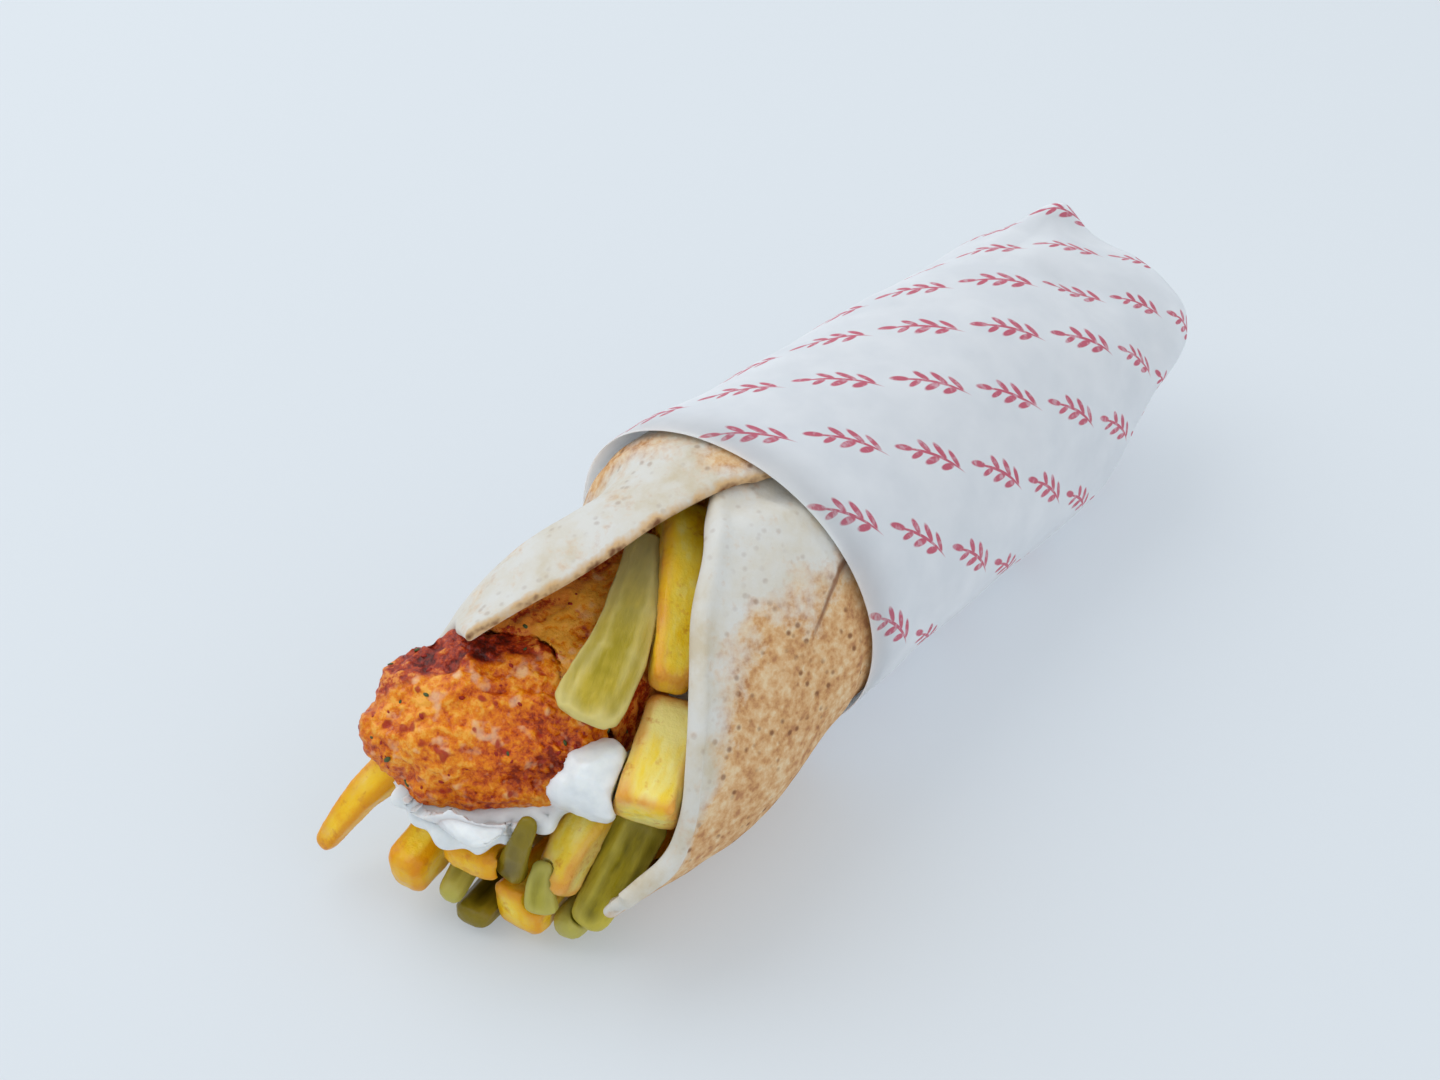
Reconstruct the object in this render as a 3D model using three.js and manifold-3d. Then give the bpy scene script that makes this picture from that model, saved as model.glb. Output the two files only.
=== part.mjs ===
// A chicken kebab rolled in thin flatbread with fries, pickles and garlic sauce. A paper sleeve
// holds its far part, and at the near end the bread opens in a V over the filling.
// Millimetres. +Y runs along the roll, from the open end to the folded end, and +Z is up.
// The origin is the middle of the flat on which the sleeve rests.
// Inside the functions a station s is the distance behind the sleeve's mouth, and angles round
// the roll are in degrees, from +X towards +Z.
import * as THREE from "three";
import { mergeVertices } from "three/addons/utils/BufferGeometryUtils.js";
import Module from "manifold-3d";

const wasm = await Module();
wasm.setup();

// Driving dimensions
const REST_STATION = 58; // from the sleeve's mouth to the origin
const GAP = 0.4; // between pieces that touch
const SMALLEST = 0.03; // detail finer than this is dropped where a piece is pressed
const PAPER = 0.5; // the sleeve's layers of paper together
const BREAD = 2.3; // one layer of flatbread
const FLATTENED = 1.6; // how far the round section would reach below the floor
const SLEEVE_END = 131; // the sleeve's last station, at its top edge
const UNDERCUT = 24; // how much shorter its folded end is at the floor
const FOLD_START = 88; // where the sleeve begins to lean under towards that end
const BREAD_END = 117; // the bread's last station, inside the sleeve
const ROUNDNESS = 2.1; // the section's power, a little squarer than an ellipse

// Half width and half height of the roll outside, by station
const ROLL_WIDTH = curveThrough([
  [-72, 32.4], [-35, 32.6], [0, 33.2], [30, 32.6], [60, 31.2],
  [90, 29.6], [110, 28], [122, 26.2], [131, 23.2],
]);
const ROLL_HEIGHT = curveThrough([
  [-72, 31.2], [-35, 32], [0, 34], [30, 31.8], [60, 29.9],
  [90, 27.6], [110, 25.6], [122, 23.6], [131, 21.4],
]);

// The bread's two long edges, as angles by station
const RIGHT_EDGE = curveThrough([
  [-72, -13], [-67.5, -11], [-61, -8.5], [-54, -4], [-51, 7], [-48, 22], [-43.5, 36], [-37, 50],
  [-31, 60], [-22, 70], [-10, 84], [0, 93], [20, 99],
]);
const FLAP_EDGE = curveThrough([
  [-70, 122], [-60, 113], [-52, 105], [-42, 96], [-32, 91], [-20, 88], [-8, 83], [0, 77], [12, 70], [96, 64],
]);

// The bread's front rim, as a station by the angle turned clockwise from +X
const FRONT_RIM = curveThrough([
  [-262, -58], [-245, -54], [-222, -50.5], [-205, -58.5], [-180, -60], [-150, -57], [-120, -52], [-90, -49],
  [-60, -51], [-40, -56], [-25, -60], [-12, -63.5], [0, -65], [20, -66.5],
]);

// The upper bread layer ends on the right flank along this line, as an angle by station
const STEP_LINE = curveThrough([[-34, 6], [-26, 14], [-18, 23], [-8, 33], [0, 39], [12, 44]]);

// A smooth function through [position, value] pairs, constant beyond its ends
function curveThrough(pairs) {
  const positions = pairs.map(([position]) => position);
  const values = pairs.map(([, value]) => value);
  const curve = new THREE.CubicInterpolant(positions, values, 1);
  const first = positions[0];
  const last = positions[positions.length - 1];
  return (at) => curve.evaluate(THREE.MathUtils.clamp(at, first, last))[0];
}

const radians = THREE.MathUtils.degToRad;
const smooth = THREE.MathUtils.smoothstep;

// A bell curve, and one round the roll for angles in degrees
const bell = (distance, width) => Math.exp(-((distance / width) ** 2));
const bellRound = (degrees, width) => bell(THREE.MathUtils.euclideanModulo(degrees + 180, 360) - 180, width);

// Soft bumps of one wavelength, from -1 to 1
function bumps(point, wavelength, phase = 0) {
  const k = (2 * Math.PI) / wavelength;
  const a = Math.sin(k * point.x + 1.3 * phase + 0.8 * Math.sin(0.7 * k * point.z));
  const b = Math.sin(1.1 * k * point.y + 2.1 * phase + 0.7 * Math.sin(0.6 * k * point.x));
  const c = Math.sin(0.9 * k * point.z + 0.7 * phase + 0.9 * Math.sin(0.8 * k * point.y));
  return (a + b + c) / 3;
}

// The point of a superellipse with half sizes of 1
function rounded(angle, power) {
  const c = Math.cos(angle);
  const s = Math.sin(angle);
  return [Math.sign(c) * Math.abs(c) ** (2 / power), Math.sign(s) * Math.abs(s) ** (2 / power)];
}

// A closed skin: the grid of a sphere moved to place(turn, row), with turn from 0 to 1
function skin(around, rows, place) {
  const geometry = new THREE.SphereGeometry(1, around, rows);
  const position = geometry.attributes.position;
  for (let i = 0; i < position.count; i++) {
    const row = Math.floor(i / (around + 1));
    const column = i % (around + 1);
    const atPole = row === 0 || row === rows;
    const p = place(atPole ? 0 : (column % around) / around, row);
    position.setXYZ(i, p.x, p.y, p.z);
  }
  return closed(geometry);
}

// A closed sheet: the grid of a box moved to place(u, v, outside)
function sheet(across, along, place) {
  const geometry = new THREE.BoxGeometry(1, 1, 1, across, along, 1);
  const position = geometry.attributes.position;
  for (let i = 0; i < position.count; i++) {
    const p = place(position.getX(i) + 0.5, position.getY(i) + 0.5, position.getZ(i) > 0);
    position.setXYZ(i, p.x, p.y, p.z);
  }
  return closed(geometry);
}

// Corners that meet are merged, flat faces dropped, and the rest turned outwards
function closed(geometry) {
  geometry.deleteAttribute("normal");
  geometry.deleteAttribute("uv");
  const merged = mergeVertices(geometry, 1e-3);
  const index = merged.index.array;
  let corners = [];
  for (let i = 0; i < index.length; i += 3) {
    const [a, b, c] = index.slice(i, i + 3);
    if (a !== b && b !== c && c !== a) corners.push(a, b, c);
  }
  merged.setIndex(corners);
  if (signedVolume(merged) < 0) {
    corners = corners.map((corner, i) => (i % 3 === 0 ? corner : corners[i % 3 === 1 ? i + 1 : i - 1]));
    merged.setIndex(corners);
  }
  merged.computeVertexNormals();
  return merged;
}

function signedVolume(geometry) {
  const { position } = geometry.attributes;
  const [a, b, c] = [new THREE.Vector3(), new THREE.Vector3(), new THREE.Vector3()];
  let six = 0;
  for (let i = 0; i < geometry.index.count; i += 3) {
    a.fromBufferAttribute(position, geometry.index.getX(i));
    b.fromBufferAttribute(position, geometry.index.getX(i + 1));
    c.fromBufferAttribute(position, geometry.index.getX(i + 2));
    six += a.dot(b.cross(c));
  }
  return six / 6;
}

function toSolid(geometry) {
  return new wasm.Manifold(
    new wasm.Mesh({
      numProp: 3,
      vertProperties: new Float32Array(geometry.attributes.position.array),
      triVerts: new Uint32Array(geometry.index.array),
    }),
  );
}

function fromSolid(solid) {
  const made = solid.getMesh();
  const points = new Float32Array(made.numVert * 3);
  for (let i = 0; i < made.numVert; i++) {
    points.set(made.vertProperties.subarray(i * made.numProp, i * made.numProp + 3), i * 3);
  }
  const geometry = new THREE.BufferGeometry();
  geometry.setAttribute("position", new THREE.BufferAttribute(points, 3));
  geometry.setIndex(new THREE.BufferAttribute(made.triVerts, 1));
  geometry.computeVertexNormals();
  return geometry;
}

// The same skin moved outwards by the gap, as a solid to cut with
function clearance(geometry) {
  const copy = geometry.clone();
  const { position, normal } = copy.attributes;
  const p = new THREE.Vector3();
  const n = new THREE.Vector3();
  for (let i = 0; i < position.count; i++) {
    p.fromBufferAttribute(position, i).addScaledVector(n.fromBufferAttribute(normal, i), GAP);
    position.setXYZ(i, p.x, p.y, p.z);
  }
  return toSolid(copy).add(toSolid(geometry));
}

// What is left of a soft piece where its neighbours press into it, as one body
function pressedBy(geometry, neighbours) {
  const whole = toSolid(geometry);
  const cutters = neighbours.map(clearance).filter((cutter) => cutter.intersect(whole).volume() > 0);
  if (cutters.length === 0) return geometry;
  const pressed = cutters.reduce((solid, cutter) => solid.subtract(cutter), whole);
  const [largest] = pressed.decompose().sort((a, b) => b.volume() - a.volume());
  return fromSolid(largest.simplify(SMALLEST));
}

// The height of the roll's axis. It falls with the roll's height, and in front it stays level.
const axisHeight = (s) => ROLL_HEIGHT(Math.max(s, 0)) - FLATTENED;

// How far the roll is squeezed in, away from its plain section, in millimetres
function squeeze(degrees, s) {
  const tuck = 4.5 * bellRound(degrees + 40, 36) * smooth(s, -27, -2) * (1 - smooth(s, 12, 100));
  const frontLeft = 6.4 * bellRound(degrees - 146, 52) * smooth(-s, 26, 68);
  const frontRight = 4.4 * bellRound(degrees + 42, 58) * smooth(-s, 32, 68);
  const swollen = 0.9 * bellRound(degrees - 130, 36) * bell(s + 25, 12);
  return tuck + frontLeft + frontRight - swollen;
}

// How far a point near the folded end lies back towards the mouth, more the nearer it is to the floor
function leanUnder(s, z) {
  const depth = Math.max(1 - z / (2 * ROLL_HEIGHT(s)), 0);
  return UNDERCUT * smooth(s, FOLD_START, SLEEVE_END) * depth ** 1.2;
}

// A point of the roll's section, inset from its outside
function rollPoint(degrees, s, inset) {
  const [c, h] = rounded(radians(degrees), ROUNDNESS);
  const inwards = inset + squeeze(degrees, s);
  const x = (ROLL_WIDTH(s) - inwards) * c;
  const z = axisHeight(s) + (ROLL_HEIGHT(s) - inwards) * h;
  return new THREE.Vector3(x, s, z);
}

// The sleeve: a cup of paper whose far end is folded down and under, with an ear on its upper left
const SLEEVE_ROWS = [
  [0, 1], [7, 1], [18, 1], [34, 1], [52, 1], [70, 1], [86, 1], [99, 1],
  [109, 1], [117, 1], [124, 1], [128.5, 1], [SLEEVE_END, 1], [SLEEVE_END, 0.62], [SLEEVE_END, 0],
];

function sleevePoint(turn, s, share, inset) {
  const degrees = turn * 360;
  const angle = radians(degrees);
  const creases = 0.4 * Math.sin(5 * angle + s / 9) * Math.sin(s / 17 + 2 * angle) * smooth(s, 6, 40);
  const loose = 1.1 * bellRound(degrees - 140, 42) * (1 - smooth(s, 0, 28));
  const p = rollPoint(degrees, s, inset - creases - loose);
  const middle = axisHeight(s);
  p.x *= share;
  p.z = Math.max(middle + (p.z - middle) * share, inset);
  const ear = 5.4 * bellRound(degrees - 118, 15) * smooth(s, 114, SLEEVE_END) * share;
  const ramp = 1.8 * bellRound(degrees - 140, 20) * smooth(s, 98, 126) * share;
  const shoulder = 2.4 * bellRound(degrees - 40, 20) * smooth(s, 110, SLEEVE_END) * share;
  const pinch = 1.8 * bellRound(degrees - 88, 15) * smooth(s, 108, 126) * share;
  const corner = 2.4 * bellRound(degrees - 8, 22) * smooth(s, 104, 122) * share;
  p.y -= leanUnder(s, p.z) + inset * smooth(s, 120, SLEEVE_END);
  p.y += 2.2 * (1 - share) * Math.sin(3 * angle + 0.6) * share - 2 * (1 - share);
  p.x += corner - 0.05 * ear - 0.4 * ramp + 0.6 * shoulder;
  p.z += ear + ramp + 0.5 * shoulder - pinch;
  return p;
}

function sleeve() {
  const outside = SLEEVE_ROWS.toReversed().map(([s, share]) => ({ s, share, inset: 0 }));
  const inside = SLEEVE_ROWS.map(([s, share]) => ({ s, share, inset: PAPER }));
  const rows = [...outside, ...inside];
  return skin(40, rows.length - 1, (turn, row) => {
    const { s, share, inset } = rows[row];
    return sleevePoint(turn, s, share, inset);
  });
}

// How far the bread's outer face lies inside the roll's section
function breadInset(degrees, s) {
  const held = 0.3 + (PAPER + GAP + 0.7) * smooth(s, -13, -1);
  const slack = 4.6 * bellRound(degrees - 148, 36) * smooth(s, -48, -6) * (1 - smooth(s, 10, 45));
  const waves = 0.3 * Math.sin(radians(3 * degrees) + s / 8) * Math.sin(s / 13);
  return held + slack + waves;
}

// The room inside the bread, which flares in front of the rim
function rollInside() {
  const end = BREAD_END - 1;
  const stations = [-80, -80, -68, -61, -50, -38, -24, -10, 0, 12, 30, 55, 78, 94, 106, end, end];
  return skin(28, stations.length - 1, (turn, row) => {
    const s = stations[row];
    const degrees = -360 * turn;
    const opened = 12 * bellRound(degrees - 146, 22);
    const flare = 9 * smooth(-s, 61 - opened, 68 - opened);
    const p = rollPoint(degrees, s, breadInset(degrees, s) + BREAD + GAP - flare);
    p.z = Math.max(p.z, PAPER + 2 * GAP + BREAD - flare);
    const atEnd = row === 0 || row === stations.length - 1;
    if (atEnd) p.set(0, s, axisHeight(s));
    p.y -= leanUnder(s, p.z);
    return p;
  });
}

// The flatbread: one sheet rolled clockwise round the filling. It starts at the right edge, and
// its flap comes back over the top and lies on that edge inside the sleeve.
function breadPoint(u, s, outside) {
  const right = RIGHT_EDGE(s);
  const degrees = THREE.MathUtils.lerp(right, FLAP_EDGE(s) - 360, u);
  const fromEdge = radians(right - degrees) * ROLL_WIDTH(s);
  const onRight = u < 0.5 ? 1 : 0;
  const lapped = (BREAD + GAP + 0.1) * smooth(degrees - FLAP_EDGE(s), -18, -4) * onRight;
  const rim = 1.3 * bell(fromEdge - 2.5, 2.4) * (1 - smooth(s, -14, -2));
  const below = STEP_LINE(s) - degrees;
  const step = 1.5 * smooth(below, -2, 3) * bell(Math.max(below, 0), 26) * smooth(s, -32, -16) * onRight;
  const wall = outside ? 0 : BREAD + 0.5 * rim - 0.5 * step;
  const p = rollPoint(degrees, s, breadInset(degrees, s) + lapped + step - rim + wall);
  p.z = Math.max(p.z, PAPER + GAP + (outside ? 0 : BREAD));
  p.y -= leanUnder(s, p.z);
  return p;
}

function flatbread() {
  return sheet(40, 14, (u, v, outside) => {
    const degrees = THREE.MathUtils.lerp(12, -262, u);
    const front = FRONT_RIM(degrees) + 0.7 * Math.sin(degrees / 9);
    return breadPoint(u, THREE.MathUtils.lerp(front, BREAD_END, v ** 1.3), outside);
  });
}

// The rows of a bar's end, as depth in shares of its half thickness and size in shares of its section
const ROUND_END = [[0, 0], [0.16, 0.66], [0.5, 0.92]];
const SQUARE_CUT = [[0, 0], [0.06, 0.86]];

// A long piece along a path: a superellipse section with shaped ends
function bar(shape) {
  const { path, width, height, face = [0, 0, 1], power = 5, around = 8, steps = 5 } = shape;
  const { ends = [0.7, 0.7], caps = ROUND_END, taper = [1, 1], camber = 0 } = shape;
  const { rough = 0, grain = 9, phase = 0 } = shape;
  const curve = new THREE.CatmullRomCurve3(path.map((point) => new THREE.Vector3(...point)));
  const reach = Math.min(width, height) / 2 / curve.getLength();
  const first = caps.map(([depth, share]) => [depth * ends[0] * reach, share]);
  const last = caps.map(([depth, share]) => [1 - depth * ends[1] * reach, share]).reverse();
  const middle = [];
  for (let k = 0; k <= steps; k++) {
    middle.push([THREE.MathUtils.lerp(ends[0] * reach, 1 - ends[1] * reach, k / steps), 1]);
  }
  const rows = [...first, ...middle, ...last];
  const facing = new THREE.Vector3(...face);
  return skin(around, rows.length - 1, (turn, row) => {
    const [at, share] = rows[row];
    const p = curve.getPointAt(at);
    const tangent = curve.getTangentAt(at);
    const side = tangent.clone().cross(facing).normalize();
    const up = side.clone().cross(tangent).normalize();
    const [c, h] = rounded((turn + 0.5 / around) * 2 * Math.PI, power);
    const size = share * THREE.MathUtils.lerp(...taper, at);
    p.addScaledVector(side, (c * size * width) / 2);
    p.addScaledVector(up, (h * size * height) / 2 - camber * (c * size) ** 2);
    const push = rough * bumps(p, grain, phase) * share;
    return p.addScaledVector(side, c * push).addScaledVector(up, h * push);
  });
}

// A rounded lump: half sizes along its own axes, turned by angles in degrees
function lump(shape) {
  const { centre, half, turned = [0, 0, 0], power = 2.3, around, rows, rough, grain, phase } = shape;
  const rotation = new THREE.Euler(...turned.map(radians), "ZXY");
  const middle = new THREE.Vector3(...centre);
  return skin(around, rows, (turn, row) => {
    const [c, s] = rounded(turn * 2 * Math.PI, power);
    const [z, ring] = rounded((row / rows) * Math.PI, power);
    const p = new THREE.Vector3(c * ring * half[0], s * ring * half[1], z * half[2]);
    p.multiplyScalar(1 + (rough * bumps(p, grain, phase)) / Math.min(...half));
    return p.applyEuler(rotation).add(middle);
  });
}

// Grilled chicken: a broken end piece in front, and a flat kebab that runs through the roll
function chickenFront() {
  return lump({
    centre: [-8.3, -56.6, 38.4], half: [20, 15.4, 8.6], turned: [36, 3, 17],
    around: 24, rows: 14, rough: 1.1, grain: 12, phase: 2.4,
  });
}

function chickenLong() {
  return bar({
    path: [[-3.2, -51, 40.5], [-5, -38, 43], [-6.4, -14, 44], [-5, 14, 43.5], [-2, 50, 41.5], [0, 108, 33.5]],
    width: 35, height: 17, power: 3.3, around: 14, steps: 8, ends: [0.9, 0.8],
    taper: [1, 0.84], rough: 0.9, grain: 13, phase: 1,
  });
}

const FRIES = {
  fry_upright: {
    path: [[17.2, -38, 47.2], [9, -25.8, 51.6], [2, -15.4, 53.6], [-5.4, -5, 53.4]],
    width: 9.8, height: 8, face: [0.6, -0.2, 1], taper: [0.78, 1],
  },
  fry_broad: {
    path: [[23.6, -53.6, 33.2], [19.8, -44, 37.8], [15.6, -34.4, 40.8]],
    width: 11.4, height: 10, face: [0.5, -0.5, 1], ends: [0.3, 0.6], taper: [1.05, 0.92],
  },
  fry_slanted: {
    path: [[10.2, -62.5, 14.2], [10.4, -57, 20.4], [10.8, -50, 24.2], [10.2, -44, 26]],
    width: 9.5, height: 8.5, taper: [0.8, 1],
  },
  fry_square: {
    path: [[4.2, -66, 8], [4, -57, 8.2], [3.6, -48, 8.8]],
    width: 10.5, height: 9.4, ends: [0.3, 0.6],
  },
  fry_under_sauce: {
    path: [[-3.4, -69.5, 18.2], [-4.6, -58, 18.6], [-5.6, -46, 19]],
    width: 12, height: 7,
  },
  fry_low_left: {
    path: [[-15, -73.4, 10.2], [-16.2, -60, 13], [-16.8, -46, 14.4]],
    width: 8.8, height: 11.2, taper: [0.86, 1],
  },
  fry_sticking_out: {
    path: [[-33, -74.6, 8], [-29.2, -70.5, 16.5], [-24.8, -63.5, 24], [-21.5, -50, 27]],
    width: 8.4, height: 6.6, taper: [0.45, 1.15], face: [0.2, -0.6, 0.8],
  },
};

const PICKLES = {
  pickle_long: {
    path: [[10.3, -53.8, 48.2], [7.2, -39.5, 52.2], [0.6, -26, 53.8], [-6.6, -14.6, 53.8]],
    width: 14.6, height: 4.2, face: [0.35, -0.35, 1], camber: 1.2, taper: [0.95, 0.46], ends: [2.6, 1],
  },
  pickle_right: {
    path: [[14.8, -60, 6.8], [16.8, -56, 13.6], [18, -51, 20.4], [18, -46, 25.4]],
    width: 10.6, height: 5.4, face: [0.5, -1, 0.4], camber: 1.2, taper: [0.66, 1],
  },
  pickle_middle: {
    path: [[1.8, -63.6, 14.6], [4.2, -64.8, 20.4], [6.3, -65.6, 26], [8, -64.1, 32.4]],
    width: 6, height: 3.8, face: [0.3, -1, 0.3], taper: [1.1, 0.55],
  },
  pickle_pale: {
    path: [[9.2, -64.2, 10.2], [8.6, -63.6, 15.2], [8.2, -61.8, 20.4]],
    width: 6.2, height: 3.2, face: [0.3, -1, 0.5], taper: [1.12, 0.62],
  },
  pickle_small: {
    path: [[-7, -70.6, 8], [-8.4, -64, 10], [-9.2, -52, 11]],
    width: 5.4, height: 4.8, taper: [0.9, 1],
  },
  pickle_dark: {
    path: [[-4, -69.4, 3.8], [-4.4, -61, 4.4], [-4.8, -51, 6.6]],
    width: 7.6, height: 5,
  },
  pickle_chip: {
    path: [[12, -62.6, 5.6], [11.7, -57, 6], [11.4, -51, 7.6]],
    width: 6, height: 6.2,
  },
};

// Garlic sauce: a spread between the chicken and the fries, and a dollop beside the chicken
function sauceSpread() {
  return bar({
    path: [[-10.4, -72.4, 27.8], [-7.2, -60, 30], [-4, -30, 30], [-2, 20, 28.8], [0, 103, 22]],
    width: 39, height: 10, power: 2.6, around: 16, steps: 8, ends: [1, 0.8],
    taper: [0.74, 1.05], rough: 1, grain: 10, phase: 3,
  });
}

function sauceDollop() {
  return lump({
    centre: [11.6, -53.6, 35.4], half: [7.8, 6.8, 6.8],
    around: 14, rows: 9, rough: 0.6, grain: 8, phase: 5,
  });
}

// The other fries, as one bundle that fills the lower half of the roll behind those that show
const BUNDLE_FRY = { width: 9.2, height: 8.6 };
const BUNDLE_FRONT = -46;
const BUNDLE_ENDS = [[-21, 15], [-23.5, 24.5], [21, 14.5], [24, 25]];

function friesBundle() {
  const core = bar({
    path: [[0, BUNDLE_FRONT, 13.6], [0, 0, 13.4], [0, 98, 12]],
    width: 44, height: 19, power: 2.8, around: 12, steps: 2, caps: SQUARE_CUT, taper: [1, 0.84],
  });
  let bundle = toSolid(core);
  for (const [k, [x, z]] of BUNDLE_ENDS.entries()) {
    const front = BUNDLE_FRONT - 5 - 2 * Math.sin(2.3 * k);
    const fry = bar({
      path: [[x, front, z], [x * 0.94, BUNDLE_FRONT + 8, z]],
      ...BUNDLE_FRY, steps: 1, caps: SQUARE_CUT,
    });
    bundle = bundle.add(toSolid(fry));
  }
  return fromSolid(bundle);
}

function finish(colour, roughness) {
  return new THREE.MeshStandardMaterial({ color: colour, roughness, metalness: 0 });
}

const FINISHES = {
  paper: finish("#e6eaf0", 0.75),
  bread: finish("#d9c7a4", 0.85),
  chicken: finish("#c4701f", 0.6),
  fries: finish("#dfb04a", 0.55),
  pickle: finish("#94883a", 0.35),
  sauce: finish("#e9ecea", 0.45),
};

const kebab = new THREE.Group();
kebab.name = "chicken_kebab";
kebab.position.y = -REST_STATION;

function add(name, geometry, look) {
  const mesh = new THREE.Mesh(geometry, FINISHES[look]);
  mesh.name = name;
  kebab.add(mesh);
  return geometry;
}

// The firm pieces come first, and each later one gives way to those before it
add("paper_sleeve", sleeve(), "paper");
const placed = [add("flatbread", flatbread(), "bread")];

function addPressed(name, geometry, look) {
  placed.push(add(name, pressedBy(geometry, placed), look));
}

const inside = toSolid(rollInside());
const keptInside = (geometry) => fromSolid(toSolid(geometry).intersect(inside));

addPressed("chicken_front", keptInside(chickenFront()), "chicken");
for (const [name, shape] of Object.entries(PICKLES)) {
  addPressed(name, bar({ power: 2.8, steps: 4, ends: [1, 1], ...shape }), "pickle");
}
for (const [name, shape] of Object.entries(FRIES)) {
  addPressed(name, bar({ rough: 0.3, ...shape }), "fries");
}
addPressed("chicken_long", keptInside(chickenLong()), "chicken");
addPressed("garlic_dollop", sauceDollop(), "sauce");
addPressed("garlic_sauce", keptInside(sauceSpread()), "sauce");
addPressed("fries_bundle", keptInside(friesBundle()), "fries");

export default kebab;
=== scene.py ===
"""A chicken kebab rolled in flatbread with fries, pickles and garlic sauce, half in a paper sleeve.

Lengths in the functions are millimetres until a mesh is made. A station s is the distance behind
the sleeve's mouth, and angles round the roll are in degrees, from +X towards +Z.
"""

import math

import bmesh
import bpy
import numpy as np
from mathutils import Matrix, Vector, noise


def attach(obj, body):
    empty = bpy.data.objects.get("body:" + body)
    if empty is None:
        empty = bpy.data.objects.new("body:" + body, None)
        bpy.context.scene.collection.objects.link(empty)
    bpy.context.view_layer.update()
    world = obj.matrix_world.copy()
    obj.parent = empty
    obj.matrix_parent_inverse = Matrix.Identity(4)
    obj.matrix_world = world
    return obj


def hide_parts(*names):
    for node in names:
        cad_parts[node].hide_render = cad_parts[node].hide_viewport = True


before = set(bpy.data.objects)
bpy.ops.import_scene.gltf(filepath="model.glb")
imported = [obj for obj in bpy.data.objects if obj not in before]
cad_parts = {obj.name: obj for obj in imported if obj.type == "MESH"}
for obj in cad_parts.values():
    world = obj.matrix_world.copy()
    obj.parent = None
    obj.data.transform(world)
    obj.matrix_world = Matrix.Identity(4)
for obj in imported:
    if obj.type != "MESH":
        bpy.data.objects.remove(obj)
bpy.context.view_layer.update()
MM = 0.001

# Driving dimensions of the roll in mm. The sleeve's end is folded under by UNDERCUT, from FOLD_START on,
# and ROUNDNESS is the power of its section, which is 2 for an ellipse.
REST_STATION = 58
GAP = 0.4
PAPER = 0.5
BREAD = 2.3
FLATTENED = 1.6
SLEEVE_END = 131
UNDERCUT = 24
FOLD_START = 88
BREAD_END = 117
ROUNDNESS = 2.1

# The photograph's camera, in metres and degrees, with its lens and sensor in mm
CAMERA_PLACE = (0.23199, -0.36242, 0.36718)
CAMERA_AZIMUTH = 37.5
CAMERA_ELEVATION = 40.0
CAMERA_LENS = 70
SENSOR_WIDTH = 36


def curve_through(*pairs):
    """A smooth function through (position, value) pairs, constant beyond its ends."""
    t, v = np.array(pairs, float).T
    chord = np.diff(v) / np.diff(t)
    slope = np.concatenate([chord[:1], (chord[1:] + chord[:-1]) / 2, chord[-1:]])

    def at(x):
        x = np.clip(x, t[0], t[-1])
        k = np.clip(np.searchsorted(t, x, side="right") - 1, 0, len(t) - 2)
        wide = t[k + 1] - t[k]
        p = (x - t[k]) / wide
        rise = 3 * p**2 - 2 * p**3
        start = (p**3 - 2 * p**2 + p) * wide * slope[k]
        end = (p**3 - p**2) * wide * slope[k + 1]
        return (1 - rise) * v[k] + rise * v[k + 1] + start + end

    return at


# Half width and half height of the roll outside, by station
ROLL_WIDTH = curve_through(
    (-72, 32.4), (-35, 32.6), (0, 33.2), (30, 32.6), (60, 31.2), (90, 29.6), (110, 28), (122, 26.2),
    (131, 23.2),
)
ROLL_HEIGHT = curve_through(
    (-72, 31.2), (-35, 32), (0, 34), (30, 31.8), (60, 29.9), (90, 27.6), (110, 25.6), (122, 23.6), (131, 21.4)
)

# The bread's long edges, its front rim and the edge of its upper layer, as in the solids
RIGHT_EDGE = curve_through(
    (-72, -13), (-67.5, -11), (-61, -8.5), (-54, -4), (-51, 7), (-48, 22), (-43.5, 36), (-37, 50),
    (-31, 60), (-22, 70), (-10, 84), (0, 93), (20, 99),
)
FLAP_EDGE = curve_through(
    (-70, 122), (-60, 113), (-52, 105), (-42, 96), (-32, 91), (-20, 88), (-8, 83), (0, 77), (12, 70), (96, 64)
)
FRONT_RIM = curve_through(
    (-262, -58), (-245, -54), (-222, -50.5), (-205, -58.5), (-180, -60), (-150, -57), (-120, -52), (-90, -49),
    (-60, -51), (-40, -56), (-25, -60), (-12, -63.5), (0, -65), (20, -66.5),
)
STEP_LINE = curve_through((-34, 6), (-26, 14), (-18, 23), (-8, 33), (0, 39), (12, 44))

# Below this angle the right flank is toasted
TOAST_LINE = curve_through(
    (-55, -24), (-50, -6), (-44, 15), (-34, 34), (-23, 46), (-13, 41), (-3, 37), (12, 34)
)


def smooth(x, low, high):
    """From 0 at low to 1 at high, with soft ends."""
    p = np.clip((x - low) / (high - low), 0, 1)
    return p * p * (3 - 2 * p)


def bell(distance, width):
    """1 at no distance, falling away softly to both sides of it."""
    return np.exp(-((distance / width) ** 2))


def bell_round(degrees, width):
    """A bell over angles round the roll."""
    return bell((degrees + 180) % 360 - 180, width)


def blend(a, b, share):
    return a + (b - a) * share


def rounded(angle, power):
    """A point on an ellipse of half width 1, drawn out towards a square by its power."""
    c, s = np.cos(angle), np.sin(angle)
    return np.sign(c) * np.abs(c) ** (2 / power), np.sign(s) * np.abs(s) ** (2 / power)


def axis_height(s):
    """How high the roll's axis lies, with its underside flattened."""
    return ROLL_HEIGHT(np.maximum(s, 0)) - FLATTENED


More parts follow.
